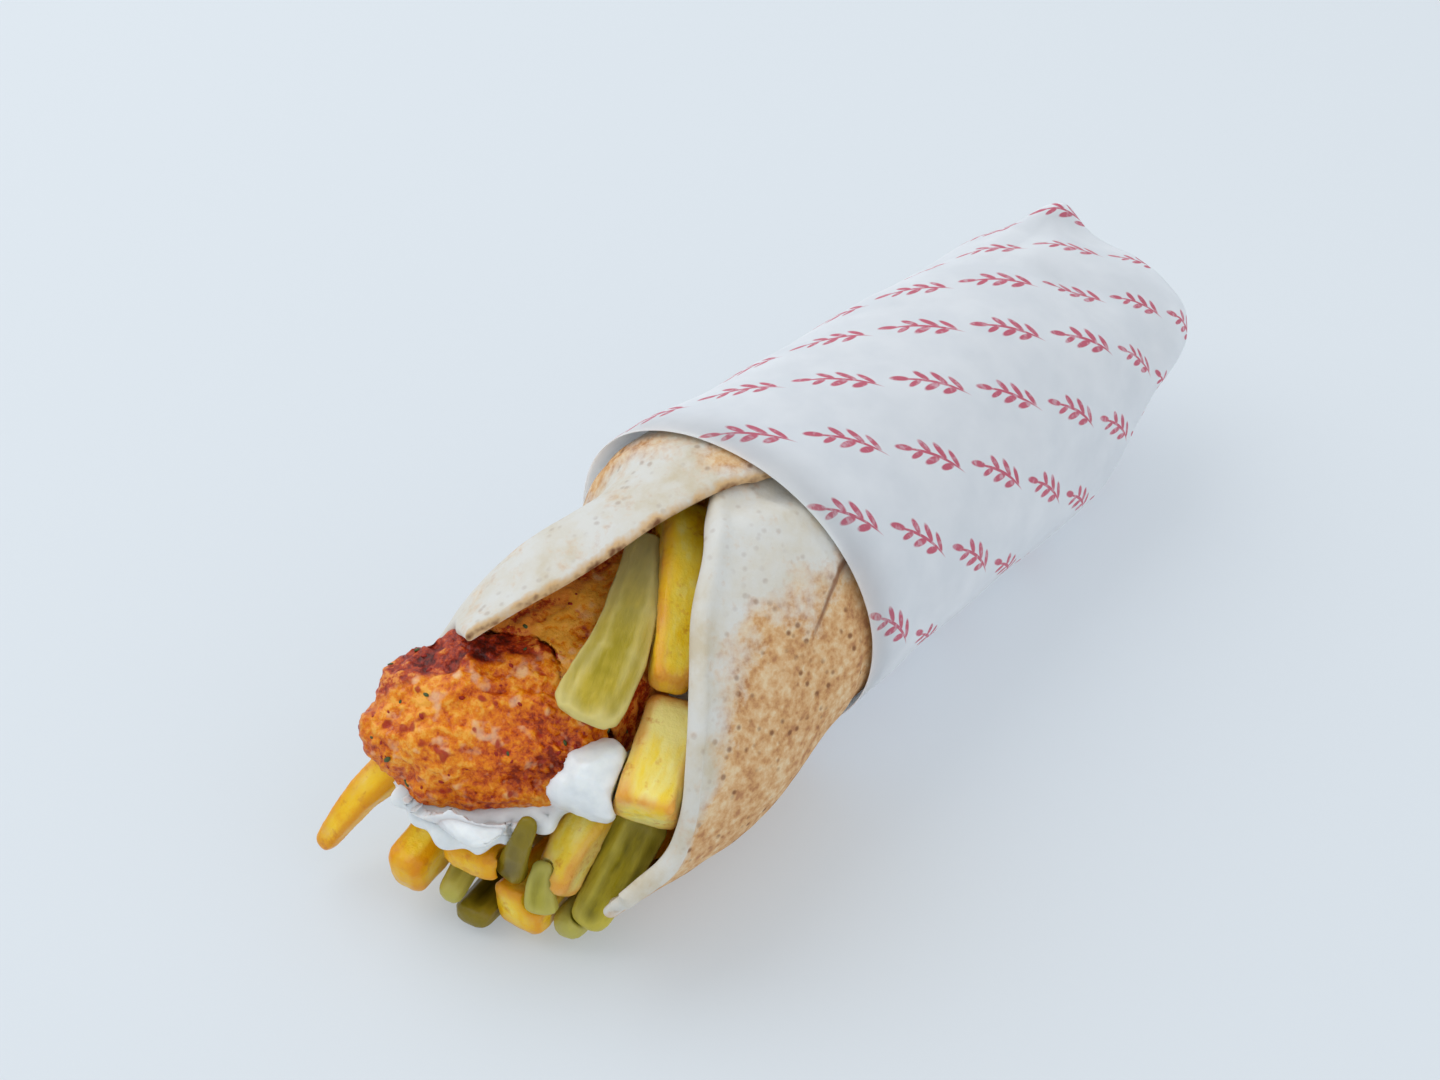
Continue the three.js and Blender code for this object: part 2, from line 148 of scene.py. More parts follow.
def squeeze(degrees, s):
    """How far the roll is pressed in, in mm, by bells about an angle that come and go along its stations."""
    tuck = 4.5 * bell_round(degrees + 40, 36) * smooth(s, -27, -2) * (1 - smooth(s, 12, 100))
    front_left = 6.4 * bell_round(degrees - 146, 52) * smooth(-s, 26, 68)
    front_right = 4.4 * bell_round(degrees + 42, 58) * smooth(-s, 32, 68)
    swollen = 0.9 * bell_round(degrees - 130, 36) * bell(s + 25, 12)
    return tuck + front_left + front_right - swollen


def lean_under(s, z):
    """How far a point of the folded end leans forward below the roll's top."""
    depth = np.maximum(1 - z / (2 * ROLL_HEIGHT(s)), 0)
    return UNDERCUT * smooth(s, FOLD_START, SLEEVE_END) * depth**1.2


def roll_point(degrees, s, inset):
    """Points of the roll's section, inset from its outside, as an array of x, y, z."""
    c, h = rounded(np.radians(degrees), ROUNDNESS)
    inwards = inset + squeeze(degrees, s)
    x = (ROLL_WIDTH(s) - inwards) * c
    z = axis_height(s) + (ROLL_HEIGHT(s) - inwards) * h
    return np.stack([x, s + 0 * x, z], -1)


def waves(points, size, seed=0):
    """Soft noise with bumps of that size, from about -1 to 1."""
    shift = Vector((seed * 3.71, seed * 1.73, seed * 5.39))
    flat = points.reshape(-1, 3) / size
    return np.array([noise.noise(Vector(p) + shift) for p in flat]).reshape(points.shape[:-1])


def grains(points, size, seed=0):
    """Packed grains of that size: 1 at the middle of each and about 0 between them."""
    shift = Vector((seed * 3.71, seed * 1.73, seed * 5.39))
    flat = points.reshape(-1, 3) / size
    near = np.array([noise.voronoi(Vector(p) + shift)[0][0] for p in flat])
    return np.clip(1 - 1.25 * near, 0, 1).reshape(points.shape[:-1])


# Meshes

def new_mesh(name, points, faces):
    """A smooth mesh from points in mm, whose y is a station."""
    mesh = bpy.data.meshes.new(name)
    placed = (np.array(points).reshape(-1, 3) - (0, REST_STATION, 0)) * MM
    mesh.from_pydata(placed.tolist(), [], faces)
    mesh.polygons.foreach_set("use_smooth", [True] * len(mesh.polygons))
    return mesh


def quads(grid):
    """The corners of each face between a grid's rows and columns."""
    return np.stack([grid[:-1, :-1], grid[1:, :-1], grid[1:, 1:], grid[:-1, 1:]], 2)


def tube(rows, around):
    """The faces of a tube of rings, and of the fans that close it to two last points, one at each end."""
    ring = np.arange(rows * around).reshape(rows, around)
    ring = np.hstack([ring, ring[:, :1]])
    fans = [(rows * around, a, b) for a, b in zip(ring[0], ring[0, 1:])]
    fans += [(rows * around + 1, b, a) for a, b in zip(ring[-1], ring[-1, 1:])]
    return quads(ring).reshape(-1, 4).tolist() + fans


def add_object(name, data):
    made = bpy.data.objects.new(name, data)
    bpy.context.scene.collection.objects.link(made)
    return made


def taken_from(work):
    """The plain mesh of an object with its modifiers, and the object itself is removed."""
    made = bpy.data.meshes.new_from_object(work.evaluated_get(bpy.context.evaluated_depsgraph_get()))
    work.modifiers.clear()
    bpy.data.objects.remove(work)
    return made


def add_piece(name, mesh, material, slot, *nodes):
    piece = add_object(name, mesh)
    mesh.materials.clear()
    mesh.materials.append(material)
    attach(piece, "root")
    if nodes:
        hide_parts(*nodes)


def set_attribute(mesh, name, values):
    kind = "FLOAT" if np.ndim(values) == 1 else "FLOAT_VECTOR"
    made = mesh.attributes.new(name, kind, "POINT")
    made.data.foreach_set("value" if kind == "FLOAT" else "vector", np.asarray(values, np.float32).ravel())


def fine_copy(node, voxel, rounds, dented=True):
    """A CAD node's mesh in even faces of that size in mm, smoothed, and with its dents filled if asked."""
    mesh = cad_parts[node].data.copy()
    bm = bmesh.new()
    bm.from_mesh(mesh)
    bmesh.ops.remove_doubles(bm, verts=bm.verts, dist=1e-6)
    if not dented:
        bm.clear()
        for place in read_points(mesh) * MM:
            bm.verts.new(place)
        bmesh.ops.convex_hull(bm, input=bm.verts)
        bmesh.ops.delete(bm, geom=[v for v in bm.verts if not v.link_faces], context="VERTS")
    bm.to_mesh(mesh)
    bm.free()
    work = add_object("work", mesh)
    remesh = work.modifiers.new("fine", "REMESH")
    remesh.mode = "VOXEL"
    remesh.voxel_size = voxel * MM
    soften = work.modifiers.new("soft", "SMOOTH")
    soften.iterations = rounds
    fine = taken_from(work)
    bpy.data.meshes.remove(mesh)
    fine.polygons.foreach_set("use_smooth", [True] * len(fine.polygons))
    return fine


def read_vectors(held, field):
    flat = np.empty(len(held) * 3, np.float32)
    held.foreach_get(field, flat)
    return flat.reshape(-1, 3).astype(float)


def read_points(mesh):
    return read_vectors(mesh.vertices, "co") / MM


def read_normals(mesh):
    return read_vectors(mesh.vertex_normals, "vector")


def push_out(mesh, points, push):
    """Gives a mesh these points, each moved along its normal by a length in mm."""
    write_points(mesh, points + read_normals(mesh) * push[:, None])


def write_points(mesh, points):
    mesh.vertices.foreach_set("co", (points * MM).astype(np.float32).ravel())
    mesh.update()


def standing_out(mesh, rounds):
    """How far each point stands out of its surroundings, in mm: above 0 on edges, below 0 in creases."""
    points, normals = read_points(mesh), read_normals(mesh)
    count = len(points)
    edges = np.empty(len(mesh.edges) * 2, np.int32)
    mesh.edges.foreach_get("vertices", edges)
    a, b = edges.reshape(-1, 2).T
    shared = np.bincount(edges, minlength=count)[:, None]
    soft = points
    for _ in range(rounds):
        sums = [np.bincount(a, soft[b, k], count) + np.bincount(b, soft[a, k], count) for k in range(3)]
        soft = np.stack(sums, -1) / shared
    return ((points - soft) * normals).sum(1)


def along_itself(points):
    """The points along the piece's own length, width and depth, in mm from its middle."""
    centred = points - points.mean(0)
    _, axes = np.linalg.eigh(centred.T @ centred)
    return centred @ axes[:, ::-1]


# Node trees

# The kinds of node that come most often
MATH = "ShaderNodeMath"
NOISE = "ShaderNodeTexNoise"
RANGE = "ShaderNodeMapRange"
RAMP = "ShaderNodeValToRGB"
BLEND = "ShaderNodeMix"
MAPPING = "ShaderNodeMapping"


def ink(text):
    """The linear colour of an sRGB hex value."""
    parts = [int(text[k : k + 2], 16) / 255 for k in (1, 3, 5)]
    return (*[p / 12.92 if p <= 0.04045 else ((p + 0.055) / 1.055) ** 2.4 for p in parts], 1)


def in_use(sockets, name=None):
    """The first of a node's sockets that its settings leave in use, of that name if one is given."""
    return next(socket for socket in sockets if socket.enabled and name in (None, socket.name))


def feed(node, inputs):
    """Sets inputs, by name or in their order, to values, hex colours, sockets or what other nodes give."""
    if isinstance(inputs, tuple):
        inputs = dict(zip(node.inputs, inputs))
    for name, value in inputs.items():
        socket = in_use(node.inputs, name) if isinstance(name, str) else name
        if isinstance(value, bpy.types.Node):
            value = in_use(value.outputs)
        if isinstance(value, bpy.types.NodeSocket):
            node.id_data.links.new(value, socket)
        else:
            socket.default_value = ink(value) if isinstance(value, str) else value


def put(tree, kind, inputs=(), stops=(), **settings):
    """Adds a node with its settings, its inputs, and a colour ramp's places and colours as its stops."""
    made = tree.nodes.new(kind)
    for name, value in settings.items():
        setattr(made, name, value)
    feed(made, inputs)
    for number, (place, colour) in enumerate(stops):
        ramp = made.color_ramp.elements
        element = ramp[number] if number < 2 else ramp.new(1)
        element.position = place
        element.color = ink(colour)
    return made


def shape_tree(name, *sizes):
    """An empty Geometry Nodes tree with a surface and named sizes going in, and a shape coming out."""
    tree = bpy.data.node_groups.new(name, "GeometryNodeTree")
    tree.interface.new_socket("Surface", in_out="INPUT", socket_type="NodeSocketGeometry")
    for label, kind in sizes:
        tree.interface.new_socket(label, in_out="INPUT", socket_type="NodeSocket" + kind)
    tree.interface.new_socket("Shape", in_out="OUTPUT", socket_type="NodeSocketGeometry")
    return tree, put(tree, "NodeGroupInput").outputs


def finish_tree(tree, instances, material, *others):
    """Makes the instances real, joins other shapes to them, and gives all of it the material."""
    real = put(tree, "GeometryNodeRealizeInstances", {"Geometry": instances})
    joined = put(tree, "GeometryNodeJoinGeometry", {"Geometry": real})
    for other in others:
        feed(joined, {"Geometry": other})
    smooth_faces = put(tree, "GeometryNodeSetShadeSmooth", (joined,))
    coloured = put(tree, "GeometryNodeSetMaterial", {"Geometry": smooth_faces, "Material": material})
    put(tree, "NodeGroupOutput", {"Shape": coloured})
    return tree


def grown(mesh, tree, **sizes):
    """The plain mesh that the tree makes from this one, with its sizes set."""
    work = add_object("work", mesh)
    modifier = work.modifiers.new("grown", "NODES")
    modifier.node_group = tree
    for socket in tree.interface.items_tree:
        if socket.name in sizes:
            modifier[socket.identifier] = sizes[socket.name]
    return taken_from(work)


# A fleck's shape for a length of 1, how far it tips and turns in radians, and its range of sizes
FLECK_SHAPE = (1, 0.6, 0.3)
FLECK_TURNS = {"Min": (-0.3, -0.3, 0), "Max": (0.3, 0.3, 6.3)}
FLECK_SIZES = {"Min": 0.5, "Max": 1.3}


def fleck_tree(name, material):
    """Small flat flecks strewn on a surface, each turned at random."""
    tree, given = shape_tree(name, ("Flecks", "Float"), ("Length", "Float"), ("Seed", "Int"))
    strewn = {"Mesh": given["Surface"], "Density": given["Flecks"], "Seed": given["Seed"]}
    points = put(tree, "GeometryNodeDistributePointsOnFaces", strewn)
    ball = put(tree, "GeometryNodeMeshIcoSphere", {"Radius": 0.5, "Subdivisions": 1})
    flake = put(tree, "GeometryNodeTransform", {"Geometry": ball, "Scale": FLECK_SHAPE})
    turn = put(tree, "FunctionNodeRandomValue", FLECK_TURNS, data_type="FLOAT_VECTOR")
    by = put(tree, "FunctionNodeEulerToRotation", {"Euler": turn})
    lying = {"Rotation": points.outputs["Rotation"], "Rotate By": by}
    turned = put(tree, "FunctionNodeRotateRotation", lying, rotation_space="LOCAL")
    size = put(tree, "FunctionNodeRandomValue", FLECK_SIZES, data_type="FLOAT")
    length = put(tree, MATH, (size, given["Length"]), operation="MULTIPLY")
    laid = {"Points": points, "Instance": flake, "Rotation": turned, "Scale": length}
    return finish_tree(tree, put(tree, "GeometryNodeInstanceOnPoints", laid), material)


# The heap's layers as a height in pitches and a count of fries, how much of its pitch and length a fry
# fills, and how far each one is nudged in metres and turned in radians
HEAP_LAYERS = ((-0.48, 4), (0.5, 5))
HEAP_FILLED = (0.92, 0.96, 0.92)
HEAP_NUDGES = {"Min": (-0.0006, -0.003, -0.0005), "Max": (0.0006, 0.003, 0.0005)}
HEAP_TURNS = {"Min": (-0.02, -0.3, -0.03), "Max": (0.02, 0.3, 0.03)}


def heap_tree(material):
    """Fries lying side by side along the roll in two layers and two lengths, over the heap's core."""
    tree, given = shape_tree("heaped_fries", ("Pitch", "Float"), ("Length", "Float"), ("Seed", "Int"))
    sides = {"Size": (1, 1, 1), "Vertices X": 3, "Vertices Y": 8, "Vertices Z": 3}
    box = put(tree, "GeometryNodeMeshCube", sides)
    stick = put(tree, "GeometryNodeSubdivisionSurface", {"Mesh": box, "Level": 2, "Edge Crease": 0.55})
    layers = []
    for height, columns in HEAP_LAYERS:
        wide = put(tree, MATH, (given["Pitch"], columns - 1), operation="MULTIPLY")
        flat = {"Size X": wide, "Size Y": given["Length"], "Vertices X": columns, "Vertices Y": 2}
        lift = put(tree, MATH, (given["Pitch"], height), operation="MULTIPLY")
        up = put(tree, "ShaderNodeCombineXYZ", {"Z": lift})
        grid = put(tree, "GeometryNodeMeshGrid", flat)
        layers.append(put(tree, "GeometryNodeTransform", {"Geometry": grid, "Translation": up}))
    both = put(tree, "GeometryNodeJoinGeometry", {"Geometry": layers[0]})
    feed(both, {"Geometry": layers[1]})
    seed = {"Seed": given["Seed"]}
    nudge = put(tree, "FunctionNodeRandomValue", HEAP_NUDGES | seed, data_type="FLOAT_VECTOR")
    moved = put(tree, "GeometryNodeSetPosition", {"Geometry": both, "Offset": nudge})
    turn = put(tree, "FunctionNodeRandomValue", HEAP_TURNS | seed, data_type="FLOAT_VECTOR")
    turned = put(tree, "FunctionNodeEulerToRotation", {"Euler": turn})
    room = put(tree, "ShaderNodeCombineXYZ", {"X": given["Pitch"], "Y": given["Length"], "Z": given["Pitch"]})
    size = put(tree, "ShaderNodeVectorMath", (room, HEAP_FILLED), operation="MULTIPLY")
    laid = {"Points": moved, "Instance": stick, "Rotation": turned, "Scale": size}
    return finish_tree(tree, put(tree, "GeometryNodeInstanceOnPoints", laid), material, given["Surface"])


# Materials

# A turn that points +Z to where the photograph was taken from
TOWARDS_PHOTO = (0, math.radians(90 - CAMERA_ELEVATION), math.radians(CAMERA_AZIMUTH - 90))


def new_material(name, *attributes, **sockets):
    """A material with those values, its tree, and the piece's own attributes that it reads."""
    material = bpy.data.materials.new(name)
    material.use_nodes = True
    tree = material.node_tree
    values = {socket.replace("_", " "): value for socket, value in sockets.items()}
    feed(tree.nodes["Principled BSDF"], values)
    read = [put(tree, "ShaderNodeAttribute", attribute_name=each).outputs["Fac"] for each in attributes]
    return material, tree, *read


def per(size):
    """A texture's scale for details of that size in mm, on coordinates in metres."""
    return 1 / (size * MM)


def grainy(place, size, detail=2, rough=0.5):
    """A texture's inputs for grains of that size in mm."""
    return {"Vector": place, "Scale": per(size), "Detail": detail, "Roughness": rough}


def layered(tree, colour, *layers):
    """Colours over one another, each where its pattern goes from low to high, up to its share."""
    for pattern, low, high, share, over in layers:
        amount = put(tree, RANGE, {"Value": pattern, "From Min": low, "From Max": high, "To Max": share})
        colour = put(tree, BLEND, {"Factor": amount, "A": colour, "B": over}, data_type="RGBA")
    return colour


def surfaced(material, colour, height, strength, depth, normals=("Normal", "Coat Normal")):
    """The material with its colour, and a relief of that depth in mm on its normals."""
    tree = material.node_tree
    bump = put(tree, "ShaderNodeBump", {"Height": height, "Strength": strength, "Distance": depth * MM})
    feed(tree.nodes["Principled BSDF"], {"Base Color": colour} | dict.fromkeys(normals, bump))
    return material


def grilled_chicken():
    """Minced chicken grilled on a skewer: moist golden grains over orange, browned where it met the coals.
    Grains that stand out are painted lighter as painted highlights, pressed-in lines darker as painted shade,
    and the rear piece lighter against the shade it lies in.
    """
    material, tree, raised, char = new_material(
        "grilled_minced_chicken", "raised", "char", Roughness=0.38, IOR=1.42, Subsurface_Weight=0.08,
        Subsurface_Radius=(1.0, 0.5, 0.25), Subsurface_Scale=0.001, Coat_Weight=0.45, Coat_Roughness=0.12,
        Specular_IOR_Level=0.1,
    )
    place = put(tree, "ShaderNodeTexCoord").outputs["Object"]
    broad = put(tree, NOISE, grainy(place, 5, 4, 0.65))
    fine = put(tree, NOISE, grainy(place, 1.2, 3, 0.7))
    golden = put(tree, NOISE, grainy(place, 14, 1))
    pale = put(tree, NOISE, grainy(place, 3.4))
    red = put(tree, NOISE, grainy(place, 2.6, 1))
    patchy = put(tree, MATH, (golden, 0.7, broad), operation="MULTIPLY_ADD")
    # The attribute read here paints light and shade: grains that stand out are lighter as painted highlights,
    # pressed-in lines darker as painted shade, and the shaded rear piece lighter.
    tones = put(tree, MATH, (raised, 0.5, patchy), operation="MULTIPLY_ADD")
    speckled = put(tree, MATH, (fine, 1.3, tones), operation="MULTIPLY_ADD")
    body = put(tree, RANGE, {"Value": speckled, "From Min": 1.23, "From Max": 2.05})
    meat = [(0.0, "#8a2602"), (0.22, "#c04a04"), (0.44, "#de7006"), (0.64, "#ec8a0c"), (0.86, "#f5aa3c")]
    burnt = [(0.1, "#460a04"), (0.4, "#8a1a08"), (0.65, "#ba3c10"), (0.9, "#e68c34")]
    ragged = put(tree, MATH, (fine, 0.9, char), operation="MULTIPLY_ADD")
    colour = layered(
        tree, put(tree, RAMP, {"Fac": body}, meat),
        (pale, 0.58, 0.7, 0.6, "#efc49c"),
        (red, 0.64, 0.72, 0.85, "#a8260e"),
        # The burnt colour is also painted shade on the rear piece's right side, by the dollop.
        (ragged, 0.6, 1.2, 0.95, put(tree, RAMP, {"Fac": body}, burnt)),
    )
    return surfaced(material, colour, fine, 0.9, 0.5)


def dried_fleck(name, colour):
    """Chopped and dried seasoning, cooked into the meat: matte, and darker than when fresh."""
    return new_material(name, Base_Color=colour, Roughness=0.55, IOR=1.42)[0]


def fried_potato():
    """Deep-fried potato: a thin golden crust, browner along its edges and ends, over a pale yellow inside."""
    material, tree, tone, ridge = new_material(
        "fried_potato", "tone", "ridge", Roughness=0.36, IOR=1.42, Subsurface_Weight=0.3,
        Subsurface_Radius=(1.0, 0.8, 0.3), Subsurface_Scale=0.003, Coat_Weight=0.35, Coat_Roughness=0.12,
        Specular_IOR_Level=0.15,
    )
    place = put(tree, "ShaderNodeAttribute", attribute_name="grain").outputs["Vector"]
    stretched = put(tree, MAPPING, {"Vector": place, "Scale": (0.35, 1, 1)})
    streaks = put(tree, NOISE, grainy(stretched, 4, 4, 0.6))
    spots = put(tree, NOISE, grainy(place, 3, 3, 0.7))
    pits = put(tree, NOISE, grainy(place, 1.3, 4, 0.6))
    toned = put(tree, MATH, (streaks, tone), operation="ADD")
    crust = [(0.22, "#e38e04"), (0.34, "#f0b008"), (0.46, "#f8cb1e"), (0.60, "#fad84a"), (0.78, "#fbe98e")]
    uneven = put(tree, MATH, (ridge, streaks), operation="MULTIPLY")
    colour = layered(
        tree, put(tree, RAMP, {"Fac": toned}, crust),
        (uneven, 0.12, 0.42, 0.75, "#dc8408"),
        (spots, 0.56, 0.72, 0.7, "#cf7d18"),
    )
    return surfaced(material, colour, pits, 0.6, 0.4)


def brined_cucumber(name, skin, flesh, rim):
    """Pickled cucumber, wet and half see-through: olive, with paler edges and faint lengthwise fibres."""
    material, tree, clear, ridge = new_material(
        name, "tone", "ridge", Roughness=0.34, IOR=1.36, Subsurface_Weight=0.2,
        Subsurface_Radius=(0.9, 1.0, 0.2), Subsurface_Scale=0.0015, Coat_Weight=0.4, Coat_Roughness=0.08,
        Specular_IOR_Level=0.1,
    )
    place = put(tree, "ShaderNodeAttribute", attribute_name="grain").outputs["Vector"]
    stretched = put(tree, MAPPING, {"Vector": place, "Scale": (0.18, 1, 1)})
    fibres = put(tree, NOISE, grainy(stretched, 1.4, 5, 0.65))
    clouds = put(tree, NOISE, grainy(place, 6))
    mixed = put(tree, MATH, (fibres, clouds), operation="MULTIPLY")
    colour = layered(
        tree, skin,
        (mixed, 0.15, 0.36, 1, flesh),
        (clear, 0, 1, 0.7, "#bab080"),
        (ridge, 0.12, 0.5, 0.7, rim),
    )
    return surfaced(material, colour, fibres, 0.6, 0.35)


def whipped_garlic():
    """Garlic sauce whipped with oil: white, soft-edged and slightly glossy, with a fine curd."""
    material, tree = new_material(
        "whipped_garlic_sauce", Roughness=0.32, IOR=1.42, Subsurface_Weight=0.45,
        Subsurface_Radius=(1.0, 0.9, 0.75), Subsurface_Scale=0.003, Coat_Weight=0.25, Coat_Roughness=0.2,
    )
    place = put(tree, "ShaderNodeTexCoord").outputs["Object"]
    curd = put(tree, NOISE, grainy(place, 3, 3))
    body = put(tree, RAMP, {"Fac": curd}, [(0.3, "#dde1e2"), (0.6, "#ecefee")])
    return surfaced(material, body, curd, 0.25, 0.4, ["Normal"])


def toasted_flatbread():
    """Thin wheat bread toasted on a griddle: floury cream, tanned in grainy patches with darker specks, with
    a painted shadow along the edge of its upper layer.
    """
    material, tree, toast, border, crease = new_material(
        "toasted_flatbread", "toast", "border", "crease", Roughness=0.8, IOR=1.4
    )
    # Drawn out along the photograph's line of view, so that its grain looks round where the flank curves away
    own = put(tree, "ShaderNodeTexCoord").outputs["Object"]
    drawn_out = {"Vector": own, "Rotation": TOWARDS_PHOTO, "Scale": (1, 1, 1.6)}
    place = put(tree, MAPPING, drawn_out, vector_type="TEXTURE")
    flour = put(tree, NOISE, grainy(place, 9, 5, 0.6))
    cells = put(tree, NOISE, grainy(place, 1.7, 3, 0.6))
    patches = put(tree, NOISE, grainy(place, 5, 3, 0.6))
    spread = put(tree, NOISE, grainy(place, 6))
    burnt = put(tree, NOISE, grainy(place, 5, 3, 0.7))
    pores = put(tree, NOISE, grainy(place, 1.1, 4))
    dots = put(tree, "ShaderNodeTexVoronoi", {"Vector": place, "Scale": per(2.3)})

    dough = [(0.30, "#cabda4"), (0.45, "#d3cdc0"), (0.62, "#d7d5cf")]
    crust = [(0.58, "#b07644"), (0.72, "#cb965c"), (0.84, "#d8ac78"), (1.0, "#e2c498")]
    clumps = put(tree, MATH, (patches, 0.6, cells), operation="MULTIPLY_ADD")
    ragged = put(tree, MATH, (patches, 0.9, toast), operation="MULTIPLY_ADD")
    tanned = put(tree, MATH, (cells, -0.7, ragged), operation="MULTIPLY_ADD")
    toasted = layered(
        tree, put(tree, RAMP, {"Fac": flour}, dough),
        (tanned, 0.2, 0.85, 0.95, put(tree, RAMP, {"Fac": clumps}, crust)),
    )

    near = put(tree, RANGE, {"Value": dots, "From Min": 0.3, "From Max": 0.14})
    some = put(tree, RANGE, {"Value": spread, "From Min": 0.45, "From Max": 0.56})
    seen = put(tree, RANGE, {"Value": toast, "From Max": 0.8, "To Min": 0.2, "To Max": 0.85})
    both = put(tree, MATH, (near, some), operation="MULTIPLY")
    share = put(tree, MATH, (both, seen), operation="MULTIPLY")
    specked = put(tree, BLEND, {"Factor": share, "A": toasted, "B": "#7b4d2b"}, data_type="RGBA")

    strip = put(tree, MATH, (burnt, 3.4, border), operation="MULTIPLY_ADD")
    colour = layered(
        tree, specked,
        (strip, 2.7, 1.8, 0.85, "#d2a870"),
        (strip, 1.75, 1.2, 0.9, "#6e3d1d"),
        # Painted shadow: a dark brown line below the edge of the bread's upper layer, standing in for the
        # shade that edge casts.
        (crease, 0.2, 0.8, 0.8, "#82502b"),
    )
    return surfaced(material, colour, pores, 0.45, 0.3, ["Normal"])


# The print in mm: the pitches of its sprigs and rows, how large a sprig is drawn, its turn and the bend of
# its stem, and its stem and leaves as x, y, turn in degrees, length and width
SPRIG_PITCH = 22.2
ROW_PITCH = 13.6
SPRIG_SIZE = 0.84
SPRIG_TURN = math.radians(42)
STEM_BEND = 0.018
SPRIG = [
    (0, 0, 0, 16, 0.75),
    (-5.4, 1.5, 38, 4.2, 1.5), (-3.6, -1.5, -38, 4.2, 1.5),
    (-1.4, 1.6, 38, 4.6, 1.6), (0.6, -1.6, -38, 4.6, 1.6),
    (2.8, 1.5, 38, 4.2, 1.5), (4.6, -1.3, -38, 3.6, 1.4),
    (8.0, 0.3, 8, 4.4, 1.6),
]


def sprig_print(tree):
    """Where the ink is, from 0 to 1: leafy sprigs in rows that shift by half a sprig, on the flat sheet."""
    sheet = put(tree, "ShaderNodeUVMap", uv_map="unrolled")
    pitches = (per(SPRIG_PITCH), per(ROW_PITCH), 0)
    cells = put(tree, "ShaderNodeVectorMath", (sheet, pitches), operation="MULTIPLY")
    apart = put(tree, "ShaderNodeSeparateXYZ", (cells,))
    row = put(tree, MATH, (apart.outputs["Y"],), operation="FLOOR")
    odd = put(tree, MATH, (row, 2), operation="FLOORED_MODULO")
    shifted = put(tree, MATH, (odd, 0.5, apart.outputs["X"]), operation="MULTIPLY_ADD")
    across = put(tree, MATH, (shifted,), operation="FRACT")
    along = put(tree, MATH, (apart.outputs["Y"],), operation="FRACT")
    cell = put(tree, "ShaderNodeCombineXYZ", {"X": across, "Y": along})
    size = (SPRIG_SIZE / SPRIG_PITCH, SPRIG_SIZE / ROW_PITCH, 1)
    centred = {"Vector": cell, "Location": (0.5, 0.5, 0), "Scale": size}
    spot = put(tree, MAPPING, centred, vector_type="TEXTURE")
    turned = put(tree, MAPPING, {"Vector": spot, "Rotation": (0, 0, SPRIG_TURN)})
    parts = put(tree, "ShaderNodeSeparateXYZ", (turned,))
    x, y = parts.outputs["X"], parts.outputs["Y"]
    arched = put(tree, MATH, (x, x), operation="MULTIPLY")
    bent = put(tree, MATH, (arched, STEM_BEND, y), operation="MULTIPLY_ADD")
    local = put(tree, "ShaderNodeCombineXYZ", {"X": x, "Y": bent})
    nearest = None
    for x, y, degrees, length, width in SPRIG:
        placing = {"Vector": local, "Location": (x, y, 0), "Rotation": (0, 0, math.radians(degrees)),
                   "Scale": (length / 2, width / 2, 1)}
        leaf = put(tree, MAPPING, placing, vector_type="TEXTURE")
        reach = put(tree, "ShaderNodeVectorMath", (leaf,), operation="LENGTH")
        if nearest:
            reach = put(tree, MATH, (nearest, reach), operation="MINIMUM")
        nearest = reach
    return put(tree, RANGE, {"Value": nearest, "From Min": 1.16, "From Max": 0.86})


def wrapping_paper():
    """Thin greaseproof paper: white, matte and faintly fibrous, with a crimson print on its outer face."""
    material, tree, outside = new_material(
        "printed_greaseproof_paper", "printed", Roughness=0.62, IOR=1.45, Subsurface_Weight=0.6,
        Subsurface_Radius=(1.0, 1.0, 1.0), Subsurface_Scale=0.003,
    )
    place = put(tree, "ShaderNodeTexCoord").outputs["Object"]
    fibre = put(tree, NOISE, grainy(place, 11, 3))
    worn = put(tree, NOISE, grainy(place, 1.4))
    tooth = put(tree, NOISE, grainy(place, 3, 4))
    sheet = put(tree, RAMP, {"Fac": fibre}, [(0.35, "#e2e7ee"), (0.65, "#ecf0f6")])
    fading = {"Value": worn, "From Min": 0.3, "From Max": 0.5, "To Min": 0.62, "To Max": 0.95}
    wear = put(tree, RANGE, fading)
    pressed = put(tree, MATH, (sprig_print(tree), wear), operation="MULTIPLY")
    inked = put(tree, MATH, (pressed, outside), operation="MULTIPLY")
    printed = put(tree, BLEND, {"Factor": inked, "A": sheet, "B": "#c2455f"}, data_type="RGBA")
    return surfaced(material, printed, tooth, 0.12, 0.1, ["Normal"])


# The sleeve

# The sheet once round the roll in mm, with whole sprigs on it, and the roll's mean radius
SHEET_WIDTH = 9 * SPRIG_PITCH
PAPER_RADIUS = 30

# Flats of the folded end: outward direction, distance in mm, and the stations over which each one sets in
FLATS = (((0.30, 0.12, 0.946), 59.8, 93, 104), ((0.922, 0.173, -0.347), 34, 84, 104))
FLAT_SOFTNESS = 0.9

# Bulges of the folded end: how far across and up in mm, angle and width in degrees, and the stations over
# which each one sets in
END_BULGES = {
    "ear": (-0.32, 6.4, 117, 12, 115, SLEEVE_END),
    "ramp": (-0.88, 2.2, 140, 20, 98, 126),
    "shoulder": (1.56, 1.3, 40, 18, 110, SLEEVE_END),
    "pinch": (0, -1.8, 88, 15, 108, 126),
    "corner": (2.4, 0, 8, 22, 104, 122),
}

# Creases all over the sheet: turn in degrees, pitch and height in mm
SHEET_FOLDS = ((8, 34, 0.42), (-24, 27, 0.34), (58, 41, 0.3), (-68, 37, 0.28), (17, 13, 0.12))

